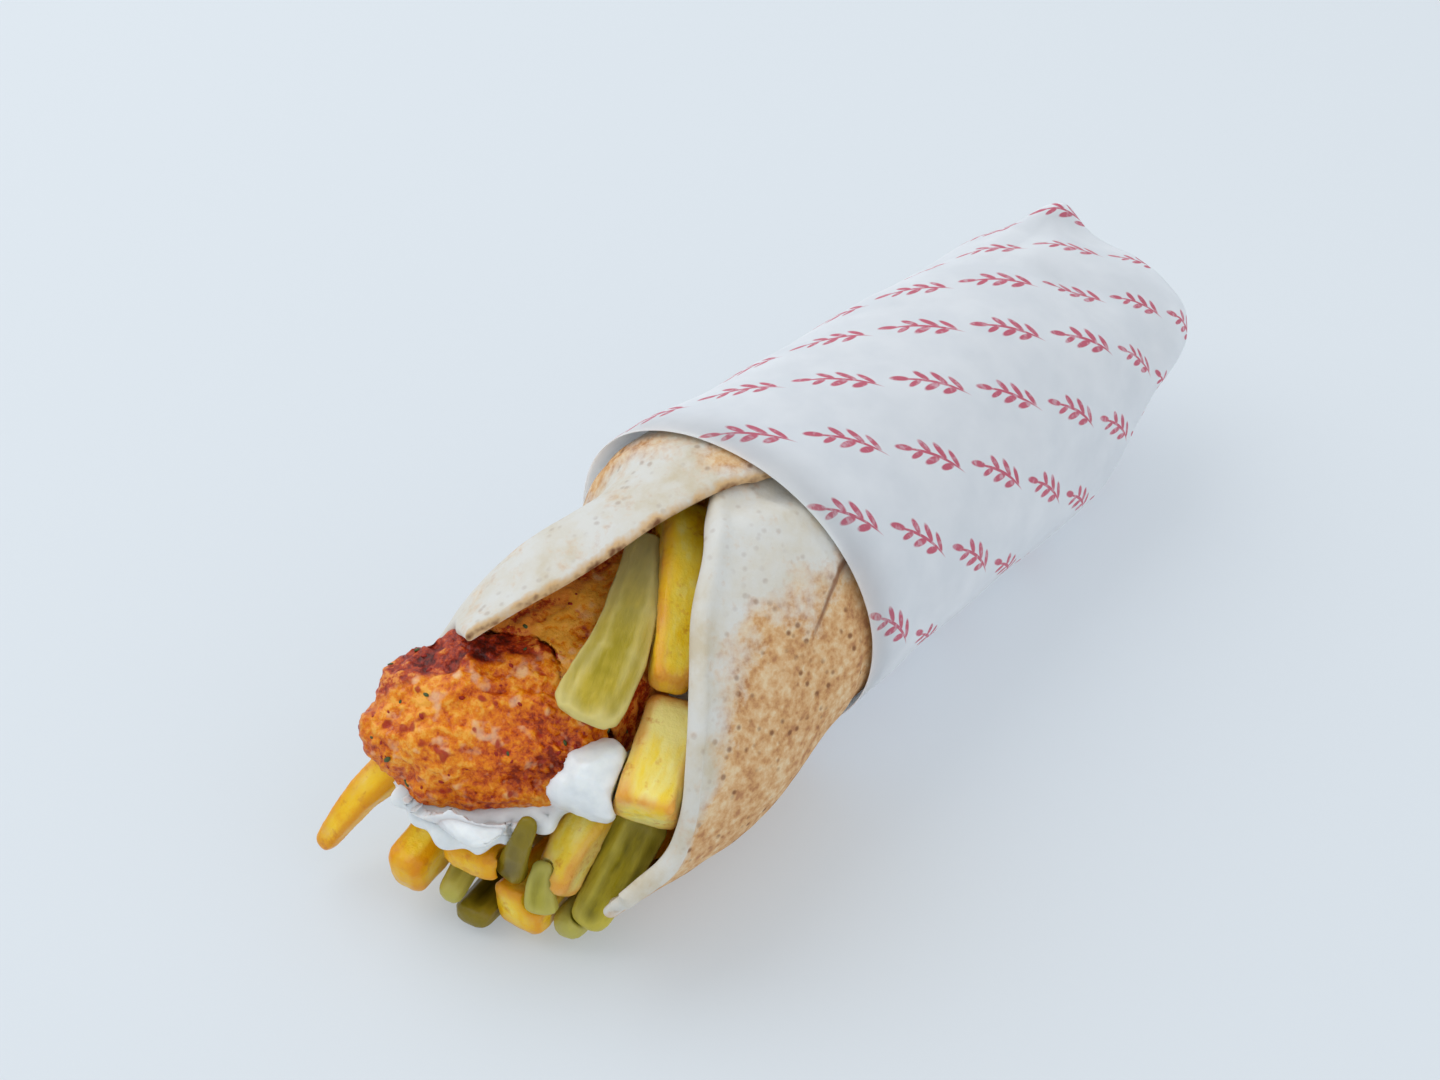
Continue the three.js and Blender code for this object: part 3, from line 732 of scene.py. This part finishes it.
# Soft creases near the folded end: start and end as angle and station, height and half width in mm
END_CREASES = (
    ((52, 90), (14, 106), 0.5, 5),
    ((78, 104), (40, 121), -0.7, 6),
    ((100, 96), (112, 124), -0.6, 5),
    ((30, 62), (62, 84), 0.35, 6),
    ((118, 60), (88, 78), -0.3, 7),
)


def flattened(points, s, inset):
    """Points pressed back softly behind the flats of the folded end."""
    for direction, reach, low, high in FLATS:
        past = np.clip(points @ np.array(direction) - reach + inset, -20, 20)
        beyond = FLAT_SOFTNESS * np.log1p(np.exp(past / FLAT_SOFTNESS)) * smooth(s, low, high)
        points = points - beyond[..., None] * np.array(direction)
    return points


def zigzag(x):
    """Straight ups and downs between -1 and 1, one to each whole step."""
    return 4 * np.abs(x - np.floor(x + 0.5)) - 1


def paper_folds(u, v):
    """Creases of a sheet that has been crumpled a little and flattened, on its own flat coordinates."""
    flat = np.stack([u, v, 0 * u], -1)
    lift = 0
    for k, (turn, size, height) in enumerate(SHEET_FOLDS):
        a = math.radians(turn)
        warped = (u * math.cos(a) + v * math.sin(a) + 3 * waves(flat, 40, k)) / size
        lift = lift + height * zigzag(warped + 0.37 * k) * smooth(waves(flat, 46, k + 5), -0.25, 0.3)
    return lift


def end_creases(degrees, s):
    """How far the paper stands out beside its creases near the folded end, in mm."""
    lift = 0
    for (angle_a, s_a), (angle_b, s_b), height, width in END_CREASES:
        a = np.array([math.radians(angle_a) * PAPER_RADIUS, s_a])
        b = np.array([math.radians(angle_b) * PAPER_RADIUS, s_b])
        along = (b - a) / np.linalg.norm(b - a)
        u, v = np.radians(degrees) * PAPER_RADIUS - a[0], s - a[1]
        far = np.clip(u * along[0] + v * along[1], 0, np.linalg.norm(b - a))
        away = np.hypot(u - far * along[0], v - far * along[1])
        lift = lift + height * np.maximum(1 - away / width, 0)
    return lift


def sleeve_points(degrees, s, share, inset):
    """The paper's points, with share 1 on its wall and falling to 0 at the middle of its closed end.

    Each fold is a height in mm, a bell about an angle, and the stations it sets in over.
    """
    angle = np.radians(degrees)
    creases = 0.3 * np.sin(5 * angle + s / 9) * np.sin(s / 17 + 2 * angle) * smooth(s, 6, 40)
    loose = 1.3 * bell_round(degrees - 150, 34) * (1 - smooth(s, 0, 28))
    lap = 0.45 * smooth((degrees + 90) % 360, 243, 244.5) * smooth(s, 30, 60)
    p = roll_point(degrees, s, inset - creases - loose + lap)
    middle = axis_height(s)
    p[..., 0] *= share
    p[..., 2] = np.maximum(middle + (p[..., 2] - middle) * share, inset)
    p[..., 1] -= lean_under(s, p[..., 2]) + inset * smooth(s, 120, SLEEVE_END)
    p[..., 1] += 2.2 * (1 - share) * np.sin(3 * angle + 0.6) * share - 2 * (1 - share)
    for across, up, turn, width, low, high in END_BULGES.values():
        bulge = bell_round(degrees - turn, width) * smooth(s, low, high) * share
        p[..., 0] += across * bulge
        p[..., 2] += up * bulge
    return flattened(p, s, inset)


def paper_sleeve():
    """The sleeve: its closed end, its outer wall to the mouth and its inner wall back, as rows of points."""
    around, wall_rows, end_rows = 340, 160, 26
    stations = np.concatenate([[0, 0.15, 0.5], np.linspace(1.2, SLEEVE_END, wall_rows)])
    outside = [(s, 1.0, 0.0) for s in stations]
    outside += [(SLEEVE_END, share, 0.0) for share in np.linspace(0.96, 0, end_rows)]
    inside = [(s, q, PAPER * (0.25 + 0.75 * float(smooth(s, 2, 12)))) for s, q, _ in outside[::3]]
    rows = outside[::-1] + inside
    s, share, inset = np.array(rows).T[..., None]
    degrees = np.arange(around)[None] * 360 / around - 90
    points = sleeve_points(degrees, s, share, inset)
    u = (degrees + 90) / 360 * SHEET_WIDTH
    off_seam = smooth(180 - np.abs(degrees - 90), 8, 40)
    creased = paper_folds(u + 0 * s, s + 0 * u) * smooth(s, 1, 16) * share * off_seam
    creased = creased + end_creases(degrees, s) * share
    outwards = points - np.stack([0 * s + 0 * u, points[..., 1], axis_height(s) + 0 * u], -1)
    outwards /= np.linalg.norm(outwards, axis=-1, keepdims=True) + 1e-6
    lifted = points[..., 2] > 1.0
    points += outwards * (creased * lifted)[..., None]
    ring = points[1:-1].reshape(-1, 3)
    faces = tube(len(rows) - 2, around)
    mesh = new_mesh("folded_paper_sleeve", np.vstack([ring, points[0, 0], points[-1, 0]]), faces)

    # The flat sheet: the way round and the station on the wall, and x and height on the closed end
    seam_to_seam = np.arange(around + 1)
    on_end = (points[..., [0, 2]] + (0, SLEEVE_END))[:, seam_to_seam % around]
    on_wall = np.stack(np.broadcast_arrays(SHEET_WIDTH * seam_to_seam / around, s), -1)
    on_wall = np.where(share[..., None] < 1, on_end, on_wall)
    closed = ((share < 1) & (inset == 0))[1:-2, :, None, None]
    walls = np.where(closed, quads(on_end[1:-1]), quads(on_wall[1:-1]))
    fan = np.stack([on_end[0, :-1], on_end[1, :-1], on_end[1, 1:]], 1)
    sheet = np.concatenate([walls.reshape(-1, 2), fan.reshape(-1, 2), np.zeros((3 * around, 2))])
    unrolled = mesh.uv_layers.new(name="unrolled")
    unrolled.data.foreach_set("uv", (sheet * MM).astype(np.float32).ravel())
    printed = np.concatenate([np.repeat(inset[1:-1, 0] == 0, around), [1, 0]])
    set_attribute(mesh, "printed", printed.astype(float))
    add_piece("folded_paper_sleeve", mesh, wrapping_paper(), "paper", "paper_sleeve")


# The bread

# The bread's width round the roll, its length and its rows beside an edge in mm, the angles of its front rim
# from the right edge round the underside to the flap, and how far it stays off the folded end's flats
BREAD_AROUND = 145
BREAD_LENGTH = 190
EDGE_STEPS = np.array([0, 0.12, 0.35, 0.7, 1.1, 1.6])
RIM_ANGLES = (12, -262)
OFF_FLATS = 2.2


def bread_points(u, s, outside):
    """One face of the bread, its angles and its distance from the right edge, by share u round the roll.

    Each form is a height in mm with bells about an angle, and the stations it sets in and ends over.
    """
    right = RIGHT_EDGE(s)
    degrees = blend(right, FLAP_EDGE(s) - 360, u)
    from_edge = np.radians(right - degrees) * ROLL_WIDTH(s)
    on_right = u < 0.5
    lapped = (BREAD + GAP + 0.1) * smooth(degrees - FLAP_EDGE(s), -18, -4) * on_right
    rim = 1.3 * bell(from_edge - 2.5, 2.4) * (1 - smooth(s, -14, -2))
    below = STEP_LINE(s) - degrees
    step = 1.3 * smooth(below, -3, 3) * bell(np.maximum(below, 0), 26) * smooth(s, -26, -8) * on_right
    held = 0.2 + (PAPER + 0.3) * smooth(s, -3.5, -0.5) + 0.9 * smooth(s, 25, 60)
    slack = 4.6 * bell_round(degrees - 148, 36) * smooth(s, -48, -12) * (1 - smooth(s, -10, 1.5))
    drawn_in = 1.3 * bell_round(degrees - 165, 45) * smooth(s, -62, -48) * (1 - smooth(s, -12, -3))
    ripples = 0.3 * np.sin(np.radians(3 * degrees) + s / 8) * np.sin(s / 13)
    wall = 0 if outside else BREAD + 0.5 * rim - 0.5 * step
    p = roll_point(degrees, s, held + slack + drawn_in + ripples + lapped + step - rim + wall)
    p[..., 2] = np.maximum(p[..., 2], PAPER + GAP + (0 if outside else BREAD))
    p[..., 1] -= lean_under(s, p[..., 2])
    return flattened(p, s, OFF_FLATS if outside else OFF_FLATS + BREAD), degrees, from_edge


def flatbread():
    """The bread: an outer and an inner face with rounded rims, its rows closest along its edges and front."""
    columns, front_rows, rear_rows = 250, 112, 24
    spread = np.linspace(0, 1, columns)
    spread = spread - 0.55 * np.sin(2 * math.pi * spread) / (2 * math.pi)
    edge = EDGE_STEPS / BREAD_AROUND
    u = np.concatenate([edge, blend(edge[-1], 1 - edge[-1], spread)[1:-1], 1 - edge[::-1]])[None]
    at_front = [EDGE_STEPS / BREAD_LENGTH, np.linspace(2.2 / BREAD_LENGTH, 0.4, front_rows)]
    v = np.concatenate([*at_front, np.linspace(0.42, 1, rear_rows)])[:, None]
    start = blend(*RIM_ANGLES, u)
    front = FRONT_RIM(start) + 0.7 * np.sin(start / 9)
    s = blend(front, BREAD_END, v)
    outer, degrees, from_edge = bread_points(u, s, True)
    inner, _, _ = bread_points(u, s, False)
    to_flap = (1 - u) * BREAD_AROUND
    border = np.minimum(np.minimum(from_edge, to_flap), (s - front))
    bulge = np.sqrt(1 - (1 - np.clip(border / 1.4, 0, 1)) ** 2)[..., None]
    middle = (outer + inner) / 2
    outer = middle + (outer - middle) * bulge
    inner = middle + (inner - middle) * bulge
    puffed = 0.35 * waves(outer, 11, 2) + 0.12 * waves(outer, 3.5, 4)
    toast = toasted_amount(degrees, s, outer)
    outwards = outer - inner
    outwards /= np.linalg.norm(outwards, axis=-1, keepdims=True) + 1e-6
    outer += outwards * (puffed * bulge[..., 0] * (1 - 0.85 * smooth(s, -3, 3)))[..., None]
    outside = np.arange(s.size).reshape(s.shape)
    inside = outside + s.size
    back_rim = np.array([outside[-1], inside[-1]])
    faces = np.concatenate([quads(grid).reshape(-1, 4) for grid in (outside, inside.T, back_rim)])
    mesh = new_mesh("rolled_flatbread", np.stack([outer, inner]), faces.tolist())
    set_attribute(mesh, "toast", np.concatenate([toast.ravel(), 0.25 * toast.ravel()]))
    set_attribute(mesh, "border", np.tile(np.minimum(from_edge + 3, to_flap).ravel(), 2))
    # The line where the shadow of the upper layer's edge is painted, just below the step.
    below = STEP_LINE(s) - degrees + 1.5 * waves(outer, 6, 15)
    crease = bell(below, 1.7) * smooth(s, -17, -9) * (u < 0.5)
    set_attribute(mesh, "crease", np.concatenate([crease.ravel(), 0 * crease.ravel()]))
    bm = bmesh.new()
    bm.from_mesh(mesh)
    bmesh.ops.remove_doubles(bm, verts=bm.verts, dist=2e-6)
    bmesh.ops.recalc_face_normals(bm, faces=bm.faces)
    bm.to_mesh(mesh)
    bm.free()
    add_piece("rolled_flatbread", mesh, toasted_flatbread(), "bread", "flatbread")


def toasted_amount(degrees, s, points):
    """How brown the bread's outer face is, from 0 to 1."""
    ragged = 9 * waves(points, 12, 7) + 4 * waves(points, 4, 8)
    below = TOAST_LINE(s) - degrees + ragged
    flank = smooth(below, -14, 22) * (1 - smooth(-degrees, 70, 120))
    under = smooth(-degrees, 70, 130)
    patches = smooth(waves(points, 22, 11), 0.05, 0.45) * under * (1 - smooth(-degrees, 205, 235))
    on_right, on_left = bell_round(degrees - 88, 8), bell_round(degrees - 130, 24)
    at_mouth = 0.9 * bell(s, 5) * on_right + 0.7 * bell(s + 1.5, 5) * on_left
    faint = 0.16 * smooth(waves(points * (1, 0.5, 1), 14, 21), 0.1, 0.5)
    return np.clip(flank + 0.8 * patches + at_mouth + faint, 0, 1)


# The filling

# The heap's pitch and length of fries, its middle in the frame, and how far its core is drawn in, in mm
HEAP_PITCH = 8.6
HEAP_LENGTH = 73
HEAP_MIDDLE = (0, -34.5, 13.6)
HEAP_CORE_INSET = 1.6


def own_grain(mesh, tone):
    """Writes the attributes that the fries' and pickles' materials read."""
    points = read_points(mesh)
    set_attribute(mesh, "grain", along_itself(points) * MM)
    set_attribute(mesh, "ridge", standing_out(mesh, 60))
    set_attribute(mesh, "tone", np.broadcast_to(tone, len(points)))


# How pale each fry is at its front end and at its rear one, as a shift of its crust's colour
FRY_TONES = {
    # The upright fry's tones are raised as painted light, against the shade of the flap and bread above it.
    "fry_broad": (0.2, 0.42), "fry_upright": (0.14, 0.02), "fry_slanted": (0.2, 0.26),
    "fry_square": (0.02, 0.02), "fry_sticking_out": (-0.06, 0.06), "fry_low_left": (-0.04, -0.04),
    "fry_under_sauce": (-0.04, -0.04),
}
HEAP_TONE = -0.06


def fries():
    """Each fry's solid with uneven faces, and the heap grown over a core a little inside its solid."""
    potato = fried_potato()
    for seed, node in enumerate(n for n in sorted(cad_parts) if n.startswith("fry_")):
        mesh = fine_copy(node, 0.42, 4)
        points = read_points(mesh)
        own = along_itself(points)
        push = 0.22 * waves(own, 5, seed) + 0.1 * waves(own * (0.4, 1, 1), 1.6, seed + 20) - 0.12
        push_out(mesh, points, push)
        rearwards = (points[:, 1] - points[:, 1].min()) / np.ptp(points[:, 1])
        own_grain(mesh, blend(*FRY_TONES[node], rearwards))
        add_piece("fried_" + node, mesh, potato, "fries", node)

    core = fine_copy("fries_bundle", 1.6, 4)
    write_points(core, read_points(core) - read_normals(core) * HEAP_CORE_INSET - HEAP_MIDDLE)
    heap = grown(core, heap_tree(potato), Pitch=HEAP_PITCH * MM, Length=HEAP_LENGTH * MM, Seed=4)
    points = read_points(heap)
    write_points(heap, points + read_normals(heap) * (0.3 * waves(points, 4, 50))[:, None] + HEAP_MIDDLE)
    own_grain(heap, HEAP_TONE)
    add_piece("fried_fries_bundle", heap, potato, "fries", "fries_bundle")


# The colours of a pickle's darker and paler flesh and its rim, and which of them each slice has
PICKLE_LOOKS = {
    "pale": ("#9c8a16", "#bea634", "#e0d088"),
    "olive": ("#746804", "#a8960e", "#d0c050"),
    "green": ("#7c7208", "#a4981c", "#c8be62"),
    "dark": ("#342a00", "#5c4c02", "#988420"),
}
PICKLE_KINDS = {
    "pickle_long": "pale", "pickle_right": "olive", "pickle_middle": "dark", "pickle_pale": "green",
    "pickle_small": "green", "pickle_dark": "dark", "pickle_chip": "green",
}


def pickles():
    """Each slice's solid with ridges along it. The right one's dent from the bread's lip is filled again."""
    looks = {kind: brined_cucumber(f"brined_cucumber_{kind}", *inks) for kind, inks in PICKLE_LOOKS.items()}
    for seed, (node, kind) in enumerate(PICKLE_KINDS.items()):
        mesh = fine_copy(node, 0.35, 6, dented=node != "pickle_right")
        points = read_points(mesh)
        own = along_itself(points)
        push = 0.2 * waves(own * (0.35, 1, 1), 3, seed) + 0.06 * waves(own * (0.3, 1, 1), 1, seed) - 0.05
        push_out(mesh, points, push)
        length = own[:, 0] / np.abs(own[:, 0]).max()
        uphill = 1 if np.corrcoef(length, points[:, 2])[0, 1] > 0 else -1
        own_grain(mesh, smooth(length * uphill, -0.2, 0.9) * (node == "pickle_long"))
        add_piece("sliced_" + node, mesh, looks[kind], "pickle", node)


def mince(points, seed):
    """The surface of minced meat in mm: soft lumps, with uneven grains packed on them."""
    warped = points + 0.9 * np.stack([waves(points, 2.2, seed + k) for k in (31, 37, 41)], -1)
    lumps = 1.2 * waves(points, 9, seed) + 0.7 * waves(points, 4.2, seed + 3)
    packed = 0.6 * grains(warped, 2.3, seed) + 0.3 * grains(warped, 1.3, seed + 5)
    return lumps, packed + 0.3 * waves(points, 1.5, seed + 5)


# The seasonings: their colour, flecks to a square metre and length in mm
SEASONINGS = {"chopped_parsley": ("#46552c", 7000, 1.5), "chilli_flakes": ("#9c2410", 22000, 1.1)}

# The size of each piece's faces, and how deep the mince's lumps and grains are let into it, in mm
MEAT_FINENESS = {"chicken_front": 0.34, "chicken_long": 0.5}
MINCE_DEPTH = 0.65


def browning(x, s, z, ragged, front):
    """How charred the meat is, from 0 to 1: past a ragged line, in spots, and along the piece's side. On the
    rear piece's right side, by the dollop, it is also painted shade for the dark recess there.
    """
    above_line = (s - x + 45.8) / math.sqrt(2) if front else -x - 6.2
    parts = [smooth(above_line + ragged, 1.0, 4.5) * smooth(z, 40, 44), 0.7 * smooth(ragged, 1.7, 2.5)]
    if front:
        parts.append(0.8 * smooth(-x + 1.3 * ragged, 22.5, 26))
    else:
        # Partly painted shade: the rear piece's right side is made dark where it lies in the recess by the
        # dollop.
        parts += [smooth(x, 5.5, 8.5), 0.45 * smooth(ragged + 2 * smooth(-s, 40, 48), 2.2, 3.2)]
    return np.maximum.reduce(parts)


def chicken():
    """Both pieces' solids with the mince's lumps and grains, how charred they are, their painted light and
    shade, and the seasoning on them.
    """
    meat = grilled_chicken()
    flecks = {name: dried_fleck(name, colour) for name, (colour, _, _) in SEASONINGS.items()}
    for seed, (node, voxel) in enumerate(MEAT_FINENESS.items()):
        mesh = fine_copy(node, voxel, 4)
        points = read_points(mesh)
        lumps, grain = mince(points, seed)
        x, s, z = points[:, 0], points[:, 1] + REST_STATION, points[:, 2]
        front = node == "chicken_front"
        points[:, 1] += 0.36 * np.clip(x + 10, -2, 20) * smooth(-s, 50, 68) * front
        ragged = 1.6 * waves(points, 5, seed + 11) + 0.9 * waves(points, 2, seed + 13)
        char = browning(x, s, z, ragged, front)
        from_crease = (s - x + 51.5 + 1.4 * np.sin(x / 3.5)) / math.sqrt(2)
        crease = 0.8 * bell(from_crease, 0.8) * front * smooth(z, 43, 46)
        hanging = 5 * smooth(x, 2, 7) * smooth(-s, 30, 37) * (1 - smooth(z, 38, 46)) * (not front)
        points[:, 2] -= hanging
        push_out(mesh, points, lumps + grain - MINCE_DEPTH - crease)
        # Painted light: the rear piece lies in the flap's shade, so its meat is painted lighter to offset
        # that shade
        paler = 0 if front else 0.5
        # Painted highlights and shade: grains and lumps that stand out are made lighter, and the pressed-in
        # line darker.
        set_attribute(mesh, "raised", np.clip(0.9 * grain + 0.3 * lumps - 0.5 * crease, 0, 1) + paler)
        set_attribute(mesh, "char", char)
        add_piece("grilled_" + node, mesh, meat, "chicken", node)
        for name, (_, amount, length) in SEASONINGS.items():
            tree = fleck_tree(f"{name}_{node}", flecks[name])
            strewn = grown(mesh.copy(), tree, Flecks=float(amount), Length=length * MM, Seed=seed + amount)
            add_piece(f"{name}_{node}", strewn, flecks[name], "chicken")


# The dollop's own directions across and up its face, and where it runs out: angle, width, reach in mm
DOLLOP_ACROSS = np.array([0.793, 0.609, 0])
DOLLOP_UP = np.array([-0.391, 0.51, 0.766])
DOLLOP_POINTS = ((190, 24, 2.2), (246, 34, -1.0), (136, 34, -1.0), (52, 22, 1.2), (300, 24, 0.8))

# The sauce's front lip below the chicken, from left to right, and the place it comes from
SAUCE_LIP = (
    (-18.4, -71.6, 31.5), (-15.8, -72.5, 28.6), (-12.1, -72.2, 26.8), (-8.6, -72.4, 25.4), (-4.8, -72, 24.6),
    (-1.3, -70.6, 24.2), (1.3, -68.5, 24.6), (3.7, -65.8, 25.4), (5.4, -62.8, 26.4), (7.8, -61.6, 26.6),
    (8.8, -59.2, 27.6), (10, -56, 29), (11, -53, 30),
)
UNDER_CHICKEN = (-7, -53, 31.5)

# The lip's ruffles: their length, how far they swing out and up, and half the lip's thickness, in mm
RUFFLE_LENGTH = 6.6
RUFFLE_OUT = 0.55
RUFFLE_UP = 0.25
LIP_THICKNESS = 2.1
UP = np.array([0, 0, 1])


def sauce_skirt():
    """The sauce's ruffled rim: a closed, soft-edged sheet along its front lip."""
    columns = [curve_through(*enumerate(values)) for values in zip(*SAUCE_LIP)]
    along_lip, around_lip = 240, 40
    t = np.linspace(0, len(SAUCE_LIP) - 1, along_lip)
    lip = np.stack([column(t) for column in columns], -1)
    along = np.concatenate([[0], np.cumsum(np.linalg.norm(np.diff(lip, axis=0), axis=1))])
    phase = 2 * math.pi * along / RUFFLE_LENGTH + 1.8 * waves(lip, 9, 61)
    inwards = np.array(UNDER_CHICKEN) - lip
    outwards = -inwards / np.linalg.norm(inwards, axis=1, keepdims=True)
    thinner = (smooth(t, -0.1, 1) * (1 - smooth(t, t[-1] - 1, t[-1] + 0.1)))[:, None, None]
    turn = np.arange(around_lip)[None, :, None] * 2 * math.pi / around_lip
    reach = np.sign(np.cos(turn)) * np.abs(np.cos(turn)) ** 0.6
    height = np.sign(np.sin(turn)) * np.abs(np.sin(turn)) ** 0.8
    points = (lip + 0.3 * inwards)[:, None] - 0.3 * inwards[:, None] * reach * thinner
    points = points + LIP_THICKNESS * UP * height * thinner
    towards_lip = smooth(reach, -0.2, 1) * thinner
    points += outwards[:, None] * (RUFFLE_OUT * np.sin(phase))[:, None, None] * towards_lip
    points += RUFFLE_UP * UP * np.cos(phase)[:, None, None] * towards_lip
    uneven = 0.1 * waves(points, 2.2, 6)[..., None]
    points += 0.35 * waves(points, 5, 3)[..., None] * outwards[:, None] + uneven
    middles = points[0].mean(0), points[-1].mean(0)
    return new_mesh("sauce_skirt", np.vstack([points.reshape(-1, 3), *middles]), tube(*points.shape[:2]))


def sauce():
    """The layer under the chicken with its ruffled rim, and the dollop drawn out into soft points."""
    cream = whipped_garlic()
    mesh = fine_copy("garlic_sauce", 0.55, 5)
    points = read_points(mesh)
    s = points[:, 1] + REST_STATION
    in_front = 1 - smooth(s, -64, -56)
    push = 0.5 * waves(points, 7, 3) + 0.12 * waves(points, 3.4, 9) - 1.6 * in_front
    push_out(mesh, points, push)
    both = bmesh.new()
    both.from_mesh(sauce_skirt())
    bmesh.ops.recalc_face_normals(both, faces=both.faces)
    both.from_mesh(mesh)
    both.to_mesh(mesh)
    both.free()
    add_piece("spooned_garlic_sauce", mesh, cream, "sauce", "garlic_sauce")

    mesh = fine_copy("garlic_dollop", 0.33, 8)
    points = read_points(mesh)
    middle = points.mean(0)
    across = (points - middle) @ DOLLOP_ACROSS
    up = (points - middle) @ DOLLOP_UP
    facing = np.arctan2(up, across)
    turn = np.degrees(facing)
    pulled = sum(size * bell_round(turn - angle, width) for angle, width, size in DOLLOP_POINTS)
    reach = smooth(np.hypot(across, up), 2, 6) * pulled
    outwards = np.cos(facing)[:, None] * DOLLOP_ACROSS + np.sin(facing)[:, None] * DOLLOP_UP
    points += reach[:, None] * outwards
    write_points(mesh, points)
    push_out(mesh, points, 0.35 * waves(points, 6, 3) - 0.1)
    add_piece("spooned_garlic_dollop", mesh, cream, "sauce", "garlic_dollop")


# Studio

# The floor's and the lamps' sizes in metres, and the lamps' places and watts
FLOOR_SIZE = 8
LAMP_SIZE = 1.7
SCREEN_LEFT = Vector((-0.793, -0.609, 0))
LAMPS = {
    "window": (SCREEN_LEFT + Vector((0, 0.45, 0.95)), 8.6),
    "fill_panel": (SCREEN_LEFT * -0.8 + Vector((0.35, -0.6, 0.55)), 3.4),
}


def studio():
    """A pale table lit softly from the upper left, with a weaker light on the right."""
    bpy.ops.mesh.primitive_plane_add(size=FLOOR_SIZE)
    floor = bpy.context.object
    floor.name = "studio_floor"
    table = new_material(
        "light_table", Base_Color="#b4b9bd", Roughness=0.9, Emission_Color="#e0e7ee", Emission_Strength=0.33
    )
    floor.data.materials.append(table[0])

    scene = bpy.context.scene
    scene.world = bpy.data.worlds.new("soft_studio")
    scene.world.use_nodes = True
    feed(scene.world.node_tree.nodes["Background"], {"Color": "#e2e9ef", "Strength": 0.82})
    scene.view_settings.view_transform = "Standard"

    for name, (place, watts) in LAMPS.items():
        light = bpy.data.lights.new(name, "AREA")
        light.shape = "DISK"
        light.size = LAMP_SIZE
        light.energy = watts
        lamp = add_object(name, light)
        lamp.location = place
        lamp.rotation_euler = (-place).to_track_quat("-Z", "Y").to_euler()


def photo_camera():
    """The camera, with its own axes as right, up and back."""
    data = bpy.data.cameras.new("photo")
    data.lens = CAMERA_LENS
    data.sensor_width = SENSOR_WIDTH
    data.clip_start = 0.01
    camera = add_object("photo", data)
    a, e = math.radians(CAMERA_AZIMUTH), math.radians(CAMERA_ELEVATION)
    back = Vector((math.sin(a) * math.cos(e), -math.cos(a) * math.cos(e), math.sin(e)))
    right = Vector((0, 0, 1)).cross(back).normalized()
    turned = Matrix((right, back.cross(right), back)).transposed()
    camera.matrix_world = Matrix.Translation(CAMERA_PLACE) @ turned.to_4x4()
    bpy.context.scene.camera = camera


photo_camera()
studio()
paper_sleeve()
flatbread()
fries()
pickles()
chicken()
sauce()
